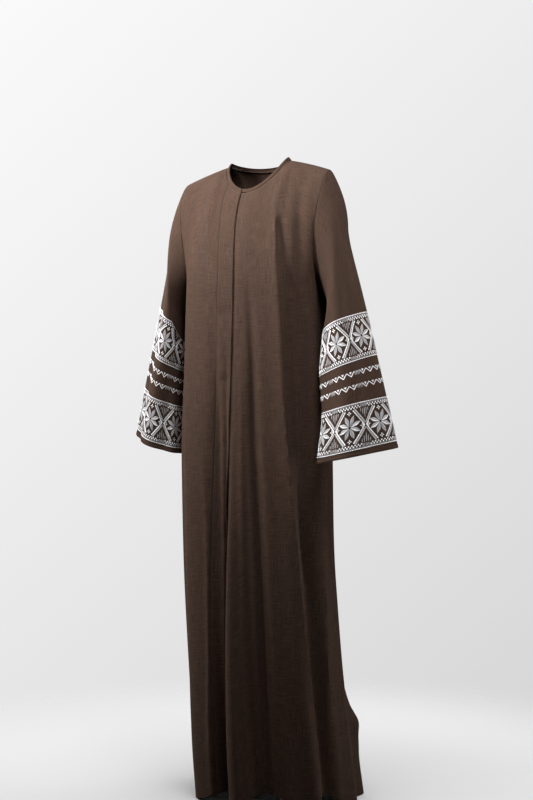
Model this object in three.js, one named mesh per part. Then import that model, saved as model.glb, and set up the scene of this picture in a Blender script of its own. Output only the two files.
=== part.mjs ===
// A floor-length abaya as it hangs on its wearer: an A-line body in a back and two fronts, a
// lapped placket down the front, and two long flared sleeves, all open walls of cloth.
// Millimetres, +Z up. The front faces -Y and the wearer's left side is +X. The origin lies
// midway between the shoulders, at the height of the neck sides, where the wearer carries it.
import * as THREE from "three";

// ---- driving dimensions ----
const LENGTH = 1425; // neck side to the floor
const CLOTH = 1.6; // wall of one layer with its fold of air
const BAND = 2.4; // the placket and the bindings are doubled cloth
const SEAM = 0.3; // space left between pieces at a seam
const ARMPIT = 300; // depth of the armhole's lowest point below the neck side
const NECK = { halfWidth: 76, sideY: 12, frontY: -64, frontZ: -80, backY: 66, backZ: -8 };
const NECK_TURN = 40; // degrees round the body where the neck line turns into the shoulder seam
const NECK_DIP = 1.5; // power with which the neck line dips towards the middle
const SHOULDER = { x: 176, y: 6, z: -33, straight: 0.75 }; // share of the fall that is straight
const BINDING = { neckWidth: 9, cuffWidth: 10, raise: 0.4, lean: 30 }; // leaning in by degrees
const EDGE_GAP = 1.5 * SEAM; // where the sleeves and the neck binding meet the body
const CUFF_GAP = 2 * SEAM; // along the outer line, as the underarm line is the shorter one
const UNDERLAP_DEPTH = BAND + 3 * SEAM; // the left front lies this far under the placket
const COLUMNS = {
  frontSide: 12, rightNeck: 4, placket: 3, underlap: 4, leftNeck: 11, backSide: 10, backNeck: 14,
};
const ROWS = { yoke: 12, skirt: 17, sleeve: 12 };
const ROW_CROWDING = 1.1; // the sleeve's rows lie closer together near the armhole

// Level sections of the body, from the armpit to the floor. front and back are the depths from
// the section's centre, and square is the power of its rounded outline.
const SECTIONS = [
  { z: -300, cx: -2, cy: 0, halfWidth: 166, front: 112, back: 106, square: 2.8 },
  { z: -450, cx: -3, cy: 2, halfWidth: 172, front: 118, back: 112, square: 2.6 },
  { z: -650, cx: -5, cy: 4, halfWidth: 180, front: 122, back: 118, square: 2.4 },
  { z: -900, cx: -4, cy: 10, halfWidth: 180, front: 128, back: 122, square: 2.2 },
  { z: -1100, cx: 3, cy: 17, halfWidth: 178, front: 134, back: 133, square: 2.1 },
  { z: -1300, cx: 14, cy: 28, halfWidth: 175, front: 142, back: 158, square: 2.1 },
  { z: -1425, cx: 24, cy: 36, halfWidth: 171, front: 146, back: 184, square: 2.1 },
];

// Folds that run down the body from a height. Each pair holds a value where the fold starts and
// one at the hem: at is the place in degrees round the body, from the front towards the wearer's
// left, wide is the half width in degrees, and out is the height of the ridge, or the depth of a
// valley when negative. lift raises the hem there.
const FOLDS = [
  { name: "underarm_left", from: -60, at: [90, 92], wide: [20, 24], out: [-15, 4], lift: 0 },
  { name: "underarm_right", from: -60, at: [-90, -92], wide: [20, 24], out: [-15, 2], lift: 0 },
  { name: "bust_line", from: -90, at: [37, 59], wide: [8, 8], out: [6, 17], lift: -2 },
  { name: "beside_bust_line", from: -110, at: [54, 67], wide: [9, 7], out: [-7, -22], lift: 12 },
  { name: "armhole_corner", from: -60, at: [74, 70], wide: [8, 8], out: [7, -4], lift: 0 },
  { name: "left_front_edge", from: -430, at: [80, 76], wide: [7, 6], out: [4, 10], lift: -6 },
  { name: "left_side", from: -800, at: [96, 93], wide: [8, 9], out: [3, 18], lift: -22 },
  { name: "left_front_soft", from: -450, at: [12, 17], wide: [12, 11], out: [-3, -12], lift: 16 },
  { name: "beside_placket", from: -700, at: [2, -5], wide: [7, 7], out: [3, 15], lift: -20 },
  { name: "placket_valley", from: -420, at: [-15, -24], wide: [9, 9], out: [-4, -32], lift: 8 },
  { name: "right_front", from: -420, at: [-44, -52], wide: [15, 14], out: [3, 14], lift: -20 },
  { name: "right_side", from: -600, at: [-78, -82], wide: [10, 10], out: [-3, -12], lift: 8 },
  { name: "right_back", from: -450, at: [-106, -108], wide: [12, 12], out: [4, 20], lift: -18 },
  { name: "back_valley_right", from: -350, at: [-134, -130], wide: [11, 10], out: [-5, -24], lift: 10 },
  { name: "back_ridge_right", from: -250, at: [-152, -150], wide: [10, 10], out: [5, 20], lift: -22 },
  { name: "back_middle", from: -300, at: [178, 182], wide: [14, 12], out: [-5, -22], lift: 4 },
  { name: "back_ridge_left", from: -250, at: [152, 156], wide: [9, 10], out: [5, 22], lift: -22 },
  { name: "back_valley_left", from: -350, at: [133, 136], wide: [10, 9], out: [-5, -24], lift: 10 },
  { name: "left_back", from: -1130, at: [114, 116], wide: [10, 10], out: [18, 26], lift: -22 },
];
const HEM_LIFT = 22; // height of the hem over the floor between the folds
const FOLD_SWING = 0.6; // a fold swings round the body early in its run rather than late
const FOLD_DEEPEN = 1.4; // a fold deepens late in its run rather than early
const FOLD_GROWTH = 200; // length over which a fold rises out of the plain cloth
const HEM_BAY = 1.3; // the hem rises and falls over this many times a fold's width

// The yoke columns, from the centre front or back round to the armhole. Each leaves the neck or
// the shoulder with a run out from the body and down, and reaches the armpit section with a
// run down and a run along the section towards the side.
const YOKE = {
  front: [
    { angle: 0, out: 70, fall: 170, down: 250, along: 0 },
    { angle: 20, out: 110, fall: 140, down: 260, along: 0 },
    { angle: 40, out: 210, fall: 70, down: 330, along: 0 },
    { angle: 65, out: 235, fall: 55, down: 250, along: 70 },
    { angle: 90, out: 270, fall: 40, down: 60, along: 240 },
  ],
  back: [
    { angle: 0, out: 120, fall: 130, down: 330, along: 0 },
    { angle: 20, out: 140, fall: 110, down: 330, along: 0 },
    { angle: 40, out: 210, fall: 70, down: 320, along: 0 },
    { angle: 65, out: 235, fall: 55, down: 250, along: 70 },
    { angle: 90, out: 280, fall: 40, down: 60, along: 240 },
  ],
};

// The placket's two edges, in degrees round the body, by height.
const LAP = [
  { z: -60, seam: -18, edge: -4 },
  { z: -150, seam: -22.5, edge: -5.5 },
  { z: -300, seam: -22, edge: -3.8 },
  { z: -500, seam: -22.5, edge: -4.3 },
  { z: -900, seam: -26.5, edge: -9 },
  { z: -1425, seam: -32, edge: -14.5 },
];
const UNDERLAP_BLEND = 6; // degrees past the placket's edge where the left front comes up level

// Sleeve sections down the arm, from the armhole (0) to the cuff (1): where the line that runs
// from the shoulder tip and the line that runs from the armpit have come to (x away from the
// body), the half depth from front to back, and how far the section is turned forwards.
const SLEEVES = {
  left: [
    { at: 0.0, outX: 176, outY: 6, outZ: -33, inX: 150, inY: 0, inZ: -300, depth: 64, turn: 0 },
    { at: 0.12, outX: 202, outY: 9, outZ: -112, inX: 166, inY: -9, inZ: -348, depth: 69, turn: 8 },
    { at: 0.25, outX: 215, outY: 12, outZ: -184, inX: 170, inY: -28, inZ: -394, depth: 68, turn: 16 },
    { at: 0.5, outX: 255, outY: 8, outZ: -338, inX: 172, inY: -54, inZ: -486, depth: 62, turn: 22 },
    { at: 0.75, outX: 293, outY: 2, outZ: -492, inX: 185, inY: -70, inZ: -583, depth: 60, turn: 25 },
    { at: 1.0, outX: 332, outY: -4, outZ: -650, inX: 176, inY: -78, inZ: -684, depth: 60, turn: 25 },
  ],
  right: [
    { at: 0.0, outX: 176, outY: 6, outZ: -33, inX: 155, inY: 0, inZ: -300, depth: 64, turn: 0 },
    { at: 0.12, outX: 200, outY: 9, outZ: -110, inX: 168, inY: -4, inZ: -345, depth: 66, turn: 4 },
    { at: 0.25, outX: 210, outY: 10, outZ: -180, inX: 174, inY: -8, inZ: -392, depth: 64, turn: 6 },
    { at: 0.5, outX: 241, outY: 8, outZ: -330, inX: 180, inY: -16, inZ: -475, depth: 56, turn: 8 },
    { at: 0.75, outX: 270, outY: 6, outZ: -474, inX: 188, inY: -24, inZ: -568, depth: 58, turn: 10 },
    { at: 1.0, outX: 299, outY: 4, outZ: -616, inX: 190, inY: -32, inZ: -662, depth: 58, turn: 12 },
  ],
};
const CAP_BLEND = 0.3; // share of the sleeve over which the armhole's outline gives way
const CAP_RUN = { tip: [0.6, -0.8], armpit: [0.62, -0.78], length: 420 }; // sideways and up
const SLEEVE_LENGTH = 640;

// Folds down the sleeve, by their place and half width in degrees round it.
const SLEEVE_FOLD_RUN = { from: 0.1, growth: 0.5 };
const SLEEVE_FOLDS = [
  { at: 30, wide: 16, out: 4 },
  { at: 62, wide: 14, out: -6 },
  { at: 100, wide: 18, out: 6 },
  { at: 140, wide: 16, out: -6 },
  { at: 205, wide: 18, out: 5 },
  { at: 245, wide: 16, out: -6 },
  { at: 290, wide: 18, out: 5 },
  { at: 328, wide: 15, out: -4 },
];

const STEP = { angle: 0.4, down: 0.01, round: 1, along: 0.01 }; // for outward directions
const SIDE_STEP = 0.5; // degrees either way for the run of the section
const ONWARD = 0.03; // share of the sleeve that shows which way it leaves the armhole
const EDGE = 0.05; // degrees round the body that leave half a seam's space
const YOKE_DEPTH = 235; // from the shoulder to the armpit
const TOP_ROW = SEAM / 2 / YOKE_DEPTH; // leaves half a seam's space at the shoulder
const LAP_CLEAR = 0.1; // degrees left on each side of the placket's seam
const EDGE_CLEAR = 0.8; // degrees past the placket's edge that the left front stays low
const UNDERLAP_START = 1.5; // degrees from the placket's seam to the hidden edge of the left front

const COLOURS = { cloth: 0x5a4a42, band: 0x54443c, sleeve: 0x5e4d45 };

// ---- small maths ----
const rad = (degrees) => (degrees * Math.PI) / 180;
const clamp01 = (v) => Math.min(1, Math.max(0, v));
const smooth = (v) => clamp01(v) ** 2 * (3 - 2 * clamp01(v));
const mix = (a, b, t) => a + (b - a) * t;
const bell = (u) => Math.exp(-u * u);

/** The row of a table at a place between its rows, with an even slope through each row. */
function between(table, key, place) {
  const sign = Math.sign(table[table.length - 1][key] - table[0][key]);
  let i = 0;
  while (i < table.length - 2 && sign * (place - table[i + 1][key]) > 0) i++;
  const [a, b] = [table[i], table[i + 1]];
  const [before, after] = [table[Math.max(0, i - 1)], table[Math.min(table.length - 1, i + 2)]];
  const span = b[key] - a[key];
  const t = clamp01((place - a[key]) / span);
  const row = {};
  for (const name of Object.keys(a)) {
    if (typeof a[name] !== "number") continue;
    const startSlope = ((b[name] - before[name]) / (b[key] - before[key])) * span;
    const endSlope = ((after[name] - a[name]) / (after[key] - a[key])) * span;
    const t2 = t * t;
    const t3 = t2 * t;
    row[name] =
      (2 * t3 - 3 * t2 + 1) * a[name] + (t3 - 2 * t2 + t) * startSlope +
      (3 * t2 - 2 * t3) * b[name] + (t3 - t2) * endSlope;
  }
  return row;
}

/** The angle between two directions round the body, from -180 to 180 degrees. */
const turnBetween = (a, b) => ((((a - b) % 360) + 540) % 360) - 180;

// ---- the body's surface ----
/** How far the folds stand out of, or into, the plain section. */
function foldOut(angle, z) {
  let out = 0;
  for (const fold of FOLDS) {
    const grown = smooth((fold.from - z) / FOLD_GROWTH);
    if (!grown) continue;
    const t = clamp01((fold.from - z) / (fold.from + LENGTH));
    const off = turnBetween(angle, mix(...fold.at, t ** FOLD_SWING));
    out += grown * mix(...fold.out, t ** FOLD_DEEPEN) * bell(off / mix(...fold.wide, t));
  }
  return out;
}

/** Height of the hem over the floor. */
function hemLift(angle) {
  let lift = HEM_LIFT;
  for (const fold of FOLDS) {
    lift += fold.lift * bell(turnBetween(angle, fold.at[1]) / (HEM_BAY * fold.wide[1]));
  }
  return Math.max(0, lift);
}

/** A point of the body at a height at or below the armpit, moved in by inset. */
function sectionPoint(angle, z, inset = 0) {
  const s = between(SECTIONS, "z", z);
  const [across, along] = [Math.sin(rad(angle)), Math.cos(rad(angle))];
  const depth = mix(s.front, s.back, smooth((1 - along) / 2));
  const inverse = Math.abs(across / s.halfWidth) ** s.square + Math.abs(along / depth) ** s.square;
  const reach = inverse ** (-1 / s.square) + foldOut(angle, z) - inset;
  return new THREE.Vector3(s.cx + reach * across, s.cy - reach * along, z);
}

/** Where an angle lies: front or back, which side, and degrees round from the middle. */
function quarter(angle) {
  const turn = Math.abs(turnBetween(angle, 0));
  const isFront = turn <= 90;
  const side = Math.sign(Math.sin(rad(angle))) || 1;
  return { isFront, side, round: isFront ? turn : 180 - turn };
}

/** The upper edge of the body: the neck line, then the shoulder seam out to the tip. */
function topPoint(angle) {
  const { isFront, side, round } = quarter(angle);
  const [middleY, middleZ] = isFront ? [NECK.frontY, NECK.frontZ] : [NECK.backY, NECK.backZ];
  if (round <= NECK_TURN) {
    const q = rad((round / NECK_TURN) * 90);
    return new THREE.Vector3(
      side * NECK.halfWidth * Math.sin(q),
      mix(NECK.sideY, middleY, Math.cos(q)),
      middleZ * Math.cos(q) ** NECK_DIP,
    );
  }
  const t = (round - NECK_TURN) / (90 - NECK_TURN);
  return new THREE.Vector3(
    side * mix(NECK.halfWidth, SHOULDER.x, t),
    mix(NECK.sideY, SHOULDER.y, t),
    SHOULDER.z * mix(t * t, t, SHOULDER.straight),
  );
}

/** A point of the yoke, from the top edge (share 0) to the armpit section (share 1). */
function yokePoint(angle, share, inset = 0) {
  const { isFront, side, round } = quarter(angle);
  const ahead = isFront ? -1 : 1;
  const run = between(isFront ? YOKE.front : YOKE.back, "angle", round);
  const start = topPoint(angle);
  const end = sectionPoint(angle, -ARMPIT);
  const aside = -SIDE_STEP * side * ahead;
  const towardsSide = sectionPoint(angle + aside, -ARMPIT)
    .sub(sectionPoint(angle - aside, -ARMPIT)).normalize();
  const leave = new THREE.Vector3(0, ahead * run.out, -run.fall);
  const downwards = sectionPoint(angle, -ARMPIT - 1).sub(end);
  const arrive = towardsSide.multiplyScalar(run.along).addScaledVector(downwards, run.down);
  const t2 = share * share;
  const t3 = t2 * share;
  const point = new THREE.Vector3()
    .addScaledVector(start, 2 * t3 - 3 * t2 + 1)
    .addScaledVector(leave, t3 - 2 * t2 + share)
    .addScaledVector(end, 3 * t2 - 2 * t3)
    .addScaledVector(arrive, t3 - t2);
  const out = foldOut(angle, point.z) - foldOut(angle, -ARMPIT) * smooth(share) - inset;
  return point.add(new THREE.Vector3(out * Math.sin(rad(angle)), -out * Math.cos(rad(angle)), 0));
}

/** A point of the body: down from 0 at the top edge to 1 at the armpit and 2 at the hem. */
function bodyPoint(angle, down, inset = 0) {
  if (down <= 1) return yokePoint(angle, down, inset);
  const hem = -LENGTH + hemLift(angle);
  return sectionPoint(angle, mix(-ARMPIT, hem, down - 1), inset);
}

/** The outward direction of a surface by small steps along its two parameters. */
function outward(surface, u, v, stepU, stepV, lowV, highV) {
  const [v0, v1] = [Math.max(lowV, v - stepV), Math.min(highV, v + stepV)];
  const across = surface(u + stepU, v).sub(surface(u - stepU, v));
  const downward = surface(u, v1).sub(surface(u, v0));
  return downward.cross(across).normalize();
}

// ---- walls ----
/**
 * A closed wall of cloth from rows of outer points and their outward directions. Columns run
 * left to right and rows downwards, seen from outside; turned says the columns run the other
 * way, and ring joins the last column to the first.
 */
function wall(rows, thickness, { ring = false, turned = false } = {}) {
  const height = rows.length;
  const width = rows[0].length;
  const positions = [];
  for (const layer of [0, thickness])
    for (const row of rows)
      for (const { point, out } of row)
        positions.push(...point.clone().addScaledVector(out, -layer).toArray());
  const at = (layer, i, j) => layer * height * width + i * width + (j % width);
  const index = [];
  const quad = (a, b, c, d) => index.push(...(turned ? [a, c, b, a, d, c] : [a, b, c, a, c, d]));
  const columns = ring ? width : width - 1;
  for (let i = 0; i < height - 1; i++)
    for (let j = 0; j < columns; j++) {
      quad(at(0, i, j), at(0, i + 1, j), at(0, i + 1, j + 1), at(0, i, j + 1));
      quad(at(1, i, j), at(1, i, j + 1), at(1, i + 1, j + 1), at(1, i + 1, j));
    }
  for (let j = 0; j < columns; j++) {
    const last = height - 1;
    quad(at(0, 0, j), at(0, 0, j + 1), at(1, 0, j + 1), at(1, 0, j));
    quad(at(0, last, j), at(1, last, j), at(1, last, j + 1), at(0, last, j + 1));
  }
  for (let i = 0; i < height - 1 && !ring; i++) {
    const last = width - 1;
    quad(at(0, i, 0), at(1, i, 0), at(1, i + 1, 0), at(0, i + 1, 0));
    quad(at(0, i, last), at(0, i + 1, last), at(1, i + 1, last), at(1, i, last));
  }
  const geometry = new THREE.BufferGeometry();
  geometry.setAttribute("position", new THREE.Float32BufferAttribute(positions, 3));
  geometry.setIndex(index);
  geometry.computeVertexNormals();
  return geometry;
}

const group = new THREE.Group();
function add(name, geometry, colour) {
  const material = new THREE.MeshStandardMaterial({ color: colour, roughness: 0.9, metalness: 0 });
  const mesh = new THREE.Mesh(geometry, material);
  mesh.name = name;
  group.add(mesh);
}

// ---- where pieces meet ----
const mitre = (a, b) => a.clone().add(b).normalize();

/** A direction at the neck line, tilted up by degrees from straight away from the neck. */
function fromNeck(angle, tilt) {
  const edge = topPoint(angle);
  return new THREE.Vector3(edge.x, edge.y - NECK.sideY, 0)
    .setLength(Math.cos(rad(tilt)))
    .setZ(Math.sin(rad(tilt)));
}

/** The direction in which the neck binding stands. */
const bindingUp = (angle) => fromNeck(angle, 90 + BINDING.lean);

/** The outward direction of the binding. */
const bindingOut = (angle) => fromNeck(angle, BINDING.lean);

/** The body's own outward direction. */
function bodyOwnOut(angle, down) {
  const [low, high] = down < 1 ? [0, 1] : [1, 2];
  const below = outward(bodyPoint, angle, Math.max(down, low), STEP.angle, STEP.down, low, high);
  if (down !== 1) return below;
  return mitre(below, outward(bodyPoint, angle, 1, STEP.angle, STEP.down, 0, 1));
}

/** The armhole's point at a place round the sleeve: 0 the shoulder tip, 180 the armpit. */
function armhole(side, round) {
  const isFront = round <= 180;
  return { angle: side * (isFront ? 90 - EDGE : 90 + EDGE), down: (isFront ? round : 360 - round) / 180 };
}

/** The sleeve's point: round it from the tip over the front, and along from 0 to the cuff at 1. */
function sleevePoint(side, round, along) {
  const s = between(side > 0 ? SLEEVES.left : SLEEVES.right, "at", along);
  const [c, f] = [Math.cos(rad(round)), Math.sin(rad(round))];
  const centre = new THREE.Vector3(s.outX + s.inX, s.outY + s.inY, s.outZ + s.inZ).multiplyScalar(0.5);
  const toOuter = new THREE.Vector3(s.outX - s.inX, s.outY - s.inY, s.outZ - s.inZ).multiplyScalar(0.5);
  const forward = new THREE.Vector3(Math.sin(rad(s.turn)), -Math.cos(rad(s.turn)), 0);
  const away = toOuter.clone().multiplyScalar(c).addScaledVector(forward, s.depth * f);
  const grown = smooth((along - SLEEVE_FOLD_RUN.from) / SLEEVE_FOLD_RUN.growth);
  let out = 0;
  for (const fold of SLEEVE_FOLDS)
    out += fold.out * grown * bell(turnBetween(round, fold.at) / fold.wide);
  const section = centre.add(away.clone().multiplyScalar(1 + out / away.length()));
  section.x *= side;
  const hole = armhole(side, round);
  const towardsTip = (1 + c) / 2;
  const cap = bodyPoint(hole.angle, hole.down).add(
    new THREE.Vector3(
      side * mix(CAP_RUN.armpit[0], CAP_RUN.tip[0], towardsTip),
      0,
      mix(CAP_RUN.armpit[1], CAP_RUN.tip[1], towardsTip),
    ).multiplyScalar(along * CAP_RUN.length),
  );
  return cap.lerp(section, smooth(along / CAP_BLEND));
}

/** The sleeve's own outward direction. */
function sleeveOwnOut(side, round, along) {
  const surface = (r, a) => sleevePoint(side, r, a);
  return outward(surface, round, along, STEP.round, STEP.along, 0, 1).multiplyScalar(-side);
}

/** The outward direction shared by the body and the sleeve at the armhole. */
function armholeOut(side, round) {
  const { angle, down } = armhole(side, round);
  const out = mitre(bodyOwnOut(angle, down), sleeveOwnOut(side, round, 0));
  const atTip = Math.min(round, 360 - round) < 1;
  return atTip ? out.setY(0).normalize() : out; // the front and the back share it at the tip
}

/** The body's outward direction, shared with its neighbours along the seams. */
function bodyOut(angle, down) {
  const { isFront, side, round } = quarter(angle);
  if (90 - round < 2 * EDGE && down <= 1)
    return armholeOut(side, isFront ? down * 180 : 360 - down * 180);
  const own = bodyOwnOut(angle, down);
  if (down > TOP_ROW) return own;
  if (round < NECK_TURN) return mitre(own, bindingOut(angle));
  return mitre(own, bodyOwnOut(side * 180 - angle, down));
}

// ---- the body's panels ----
/** Values in even steps from after the first to the last. */
const evenly = (first, last, steps) =>
  Array.from({ length: steps }, (_, j) => mix(first, last, (j + 1) / steps));

/** Angles in even steps over one or more spans, each [first, last, steps]. */
const stations = (spans) => [spans[0][0], ...spans.flatMap((span) => evenly(...span))];

const DOWN = [TOP_ROW, ...evenly(0, 1, ROWS.yoke), ...evenly(1, 2, ROWS.skirt)];

/** A panel of the body over the angles given for each height, moved in where inset says. */
function panel(name, thickness, anglesAt, colour, inset = () => 0) {
  const rows = DOWN.map((down) =>
    stations(anglesAt(bodyPoint(0, down).z)).map((angle) => {
      const out = bodyOut(angle, down);
      return { point: bodyPoint(angle, down).addScaledVector(out, -inset(angle, down)), out };
    }),
  );
  add(name, wall(rows, thickness), colour);
}

const lap = (z) => between(LAP, "z", z);
const [SIDE_LEFT, SIDE_RIGHT] = [90, -90];
panel(
  "back", CLOTH,
  () => [
    [SIDE_LEFT + EDGE, 180 - NECK_TURN, COLUMNS.backSide],
    [180 - NECK_TURN, 180 + NECK_TURN, COLUMNS.backNeck],
    [180 + NECK_TURN, 360 + SIDE_RIGHT - EDGE, COLUMNS.backSide],
  ],
  COLOURS.cloth,
);
panel(
  "front_right", CLOTH,
  (z) => [
    [SIDE_RIGHT + EDGE, -NECK_TURN, COLUMNS.frontSide],
    [-NECK_TURN, lap(z).seam - LAP_CLEAR, COLUMNS.rightNeck],
  ],
  COLOURS.cloth,
);
panel(
  "front_placket", BAND,
  (z) => [[lap(z).seam + LAP_CLEAR, lap(z).edge, COLUMNS.placket]],
  COLOURS.band,
);
panel(
  "front_left", CLOTH,
  (z) => [
    [lap(z).seam + UNDERLAP_START, lap(z).edge + EDGE_CLEAR, COLUMNS.underlap],
    [lap(z).edge + EDGE_CLEAR, NECK_TURN, COLUMNS.leftNeck],
    [NECK_TURN, SIDE_LEFT - EDGE, COLUMNS.frontSide],
  ],
  COLOURS.cloth,
  (angle, down) => {
    const past = angle - lap(bodyPoint(0, down).z).edge;
    return UNDERLAP_DEPTH * (1 - smooth((past - EDGE_CLEAR) / UNDERLAP_BLEND));
  },
);

// ---- the neck binding ----
{
  const { seam, edge } = lap(NECK.frontZ);
  const angles = [
    ...stations([[edge + EDGE_CLEAR, NECK_TURN, COLUMNS.leftNeck]]),
    ...stations([[180 - NECK_TURN, 180 + NECK_TURN, COLUMNS.backNeck]]).slice(1, -1),
    ...stations([[-NECK_TURN, seam, COLUMNS.rightNeck], [seam, edge, COLUMNS.placket]]),
  ];
  const row = (height, out) =>
    angles.map((angle) => ({
      point: bodyPoint(angle, TOP_ROW).addScaledVector(bindingUp(angle), height),
      out: out(angle),
    }));
  const bottom = row(EDGE_GAP, (angle) => mitre(bodyOut(angle, TOP_ROW), bindingOut(angle)));
  const middle = row(BINDING.neckWidth / 2, bindingOut);
  const top = row(BINDING.neckWidth, bindingOut);
  add("neck_binding", wall([top, middle, bottom], BAND), COLOURS.band);
}

// ---- the sleeves ----
for (const [word, side] of [["left", 1], ["right", -1]]) {
  const rounds = [0, ...evenly(0, 360, 2 * ROWS.yoke).slice(0, -1)];
  const cuffFrom = 1 - BINDING.cuffWidth / SLEEVE_LENGTH;
  const sleeveTo = cuffFrom - CUFF_GAP / SLEEVE_LENGTH;
  const first = rounds.map((round) => {
    const out = armholeOut(side, round);
    const point = sleevePoint(side, round, 0);
    const onward = sleevePoint(side, round, ONWARD).sub(point);
    const beside = sleevePoint(side, round + STEP.round, 0)
      .sub(sleevePoint(side, round - STEP.round, 0));
    const away = beside.cross(out).normalize();
    if (away.dot(onward) < 0) away.negate();
    return { point: point.addScaledVector(away, EDGE_GAP), out };
  });
  const ring = (along, raise = 0) =>
    rounds.map((round) => {
      const out = sleeveOwnOut(side, round, along);
      return { point: sleevePoint(side, round, along).addScaledVector(out, raise), out };
    });
  const rows = evenly(0, 1, ROWS.sleeve).map((share) => ring(sleeveTo * share ** ROW_CROWDING));
  const strip = [0, 0.5, 1].map((share) => ring(mix(cuffFrom, 1, share), BINDING.raise));
  const turned = side > 0;
  add(`sleeve_${word}`, wall([first, ...rows], CLOTH, { ring: true, turned }), COLOURS.sleeve);
  add(`cuff_binding_${word}`, wall(strip, BAND, { ring: true, turned }), COLOURS.band);
}

export default group;
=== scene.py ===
"""A floor-length abaya with embroidered sleeves, as it hangs on its wearer.

The cloth is worked out in millimetres, +Z up, from short tables of sections, folds and creases.
Meshes are made in metres. The front faces -Y and the wearer's left side is +X.
"""

from __future__ import annotations

import logging
import math
from dataclasses import dataclass, field
from enum import Enum
from typing import Any, Callable, Sequence

import bpy
import numpy as np
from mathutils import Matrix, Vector

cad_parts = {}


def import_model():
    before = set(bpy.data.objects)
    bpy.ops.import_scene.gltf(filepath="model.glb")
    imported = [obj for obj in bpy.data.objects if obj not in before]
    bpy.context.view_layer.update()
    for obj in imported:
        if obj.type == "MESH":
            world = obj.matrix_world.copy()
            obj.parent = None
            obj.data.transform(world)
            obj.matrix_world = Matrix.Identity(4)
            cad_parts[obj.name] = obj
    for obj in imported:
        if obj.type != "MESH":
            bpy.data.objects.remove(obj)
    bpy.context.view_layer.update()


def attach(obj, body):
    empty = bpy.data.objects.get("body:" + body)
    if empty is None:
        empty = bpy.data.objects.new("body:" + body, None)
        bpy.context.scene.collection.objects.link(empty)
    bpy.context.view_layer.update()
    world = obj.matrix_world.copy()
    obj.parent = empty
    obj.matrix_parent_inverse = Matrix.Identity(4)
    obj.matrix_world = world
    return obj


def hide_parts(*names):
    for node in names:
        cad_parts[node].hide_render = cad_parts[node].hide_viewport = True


LOG = logging.getLogger("abaya")
MM = 0.001
SHARP_ANGLE = 50
Array = np.ndarray
Colour = tuple[float, float, float]


# ---- small maths ----
def smooth(value: Any) -> Any:
    """An even rise from 0 to 1, flat at both ends."""
    t = np.clip(value, 0.0, 1.0)
    return t * t * (3 - 2 * t)


def mix(a: Any, b: Any, t: Any) -> Any:
    """The value a share t of the way from a to b."""
    return a + (b - a) * t


def bell(u: Any) -> Any:
    """A soft hump, 1 in the middle and nothing at two widths."""
    return np.exp(-u * u)


def turn_between(a: Any, b: Any) -> Any:
    """The angle between two directions round the body, from -180 to 180 degrees."""
    return (a - b + 180.0) % 360.0 - 180.0


def lengths(vectors: Array) -> Array:
    """The length of each vector in an array of them."""
    return np.linalg.norm(vectors, axis=-1, keepdims=True)


def unit(vectors: Array) -> Array:
    """Each vector at length 1."""
    return vectors / np.maximum(lengths(vectors), 1e-9)


def stack(x: Any, y: Any, z: Any) -> Array:
    """Points or vectors from arrays of their coordinates."""
    return np.stack(np.broadcast_arrays(x, y, z), axis=-1).astype(float)


def travelled(points: Array, axis: int) -> Array:
    """The way gone along an axis of a grid of points, from its first row or column."""
    steps = lengths(np.diff(points, axis=axis))[..., 0]
    return np.insert(np.cumsum(steps, axis=axis), 0, 0.0, axis=axis)


def crowned(share: Array, height: float, foot: float) -> Array:
    """The rounded section of a band, by the share of the way across it."""
    return height * (1 - (2 * share - 1) ** 4) - foot


def hermite(start: Array, leave: Array, end: Array, arrive: Array, t: Array) -> Array:
    """A curve from start to end that leaves and arrives with the runs given."""
    t2, t3 = t * t, t * t * t
    return (
        start * (2 * t3 - 3 * t2 + 1)
        + leave * (t3 - 2 * t2 + t)
        + end * (3 * t2 - 2 * t3)
        + arrive * (t3 - t2)
    )


class Table:
    """Rows of named columns, read between its rows with an even slope through each row."""

    def __init__(self, columns: str, rows: Sequence[Sequence[float]]) -> None:
        """Keeps the rows.

        Args:
            columns: The columns' names, the key first.
            rows: One row for each place, in order of the key.
        """
        self.columns = columns.split()
        self.rows = np.array(rows, float)

    def at(self, place: Any) -> dict[str, Array]:
        """Reads every column at one place or an array of places.

        Args:
            place: Values of the key.

        Returns:
            The columns' values by name, each shaped as place is.
        """
        keys = self.rows[:, 0]
        place = np.asarray(place, float)
        sign = np.sign(keys[-1] - keys[0])
        low = np.clip(np.searchsorted(sign * keys, sign * place) - 1, 0, len(keys) - 2)
        a, b = self.rows[low], self.rows[low + 1]
        before = self.rows[np.maximum(low - 1, 0)]
        after = self.rows[np.minimum(low + 2, len(keys) - 1)]
        span = (b - a)[..., :1]
        t = np.clip((place[..., None] - a[..., :1]) / span, 0, 1)
        leave = (b - before) / (b - before)[..., :1] * span
        arrive = (after - a) / (after - a)[..., :1] * span
        row = hermite(a, leave, b, arrive, t)
        return {name: row[..., k] for k, name in enumerate(self.columns)}


# ---- the cloth's form ----
@dataclass(frozen=True)
class Fold:
    """A fold that runs down the body to the hem from a start height.

    at is its place in degrees round the body, wide its half width in degrees and out how far it
    stands out, each at its start and at the hem. lift raises the hem under it.
    """

    start: float
    at: tuple[float, float]
    wide: tuple[float, float]
    out: tuple[float, float]
    lift: float = 0.0


@dataclass(frozen=True)
class Crease:
    """A soft ridge, or a trough where out is negative, that runs down the cloth.

    Each row holds a height, the place there in degrees round the body, the half width and how
    far the crease stands out. power is 2 for a round crease and less for a sharp one.
    """

    rows: tuple[tuple[float, float, float, float], ...]
    power: float = 2.0

    def out(self, angle: Array, z: Array, radius: float) -> Array:
        """How far the crease stands out at places on the body."""
        row = Table("z angle wide out", self.rows).at(z)
        across = np.radians(turn_between(angle, row["angle"])) * radius
        inside = (z <= self.rows[0][0]) & (z >= self.rows[-1][0])
        fall = np.exp(-np.abs(across / row["wide"]) ** self.power)
        return np.where(inside, row["out"], 0) * fall


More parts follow.
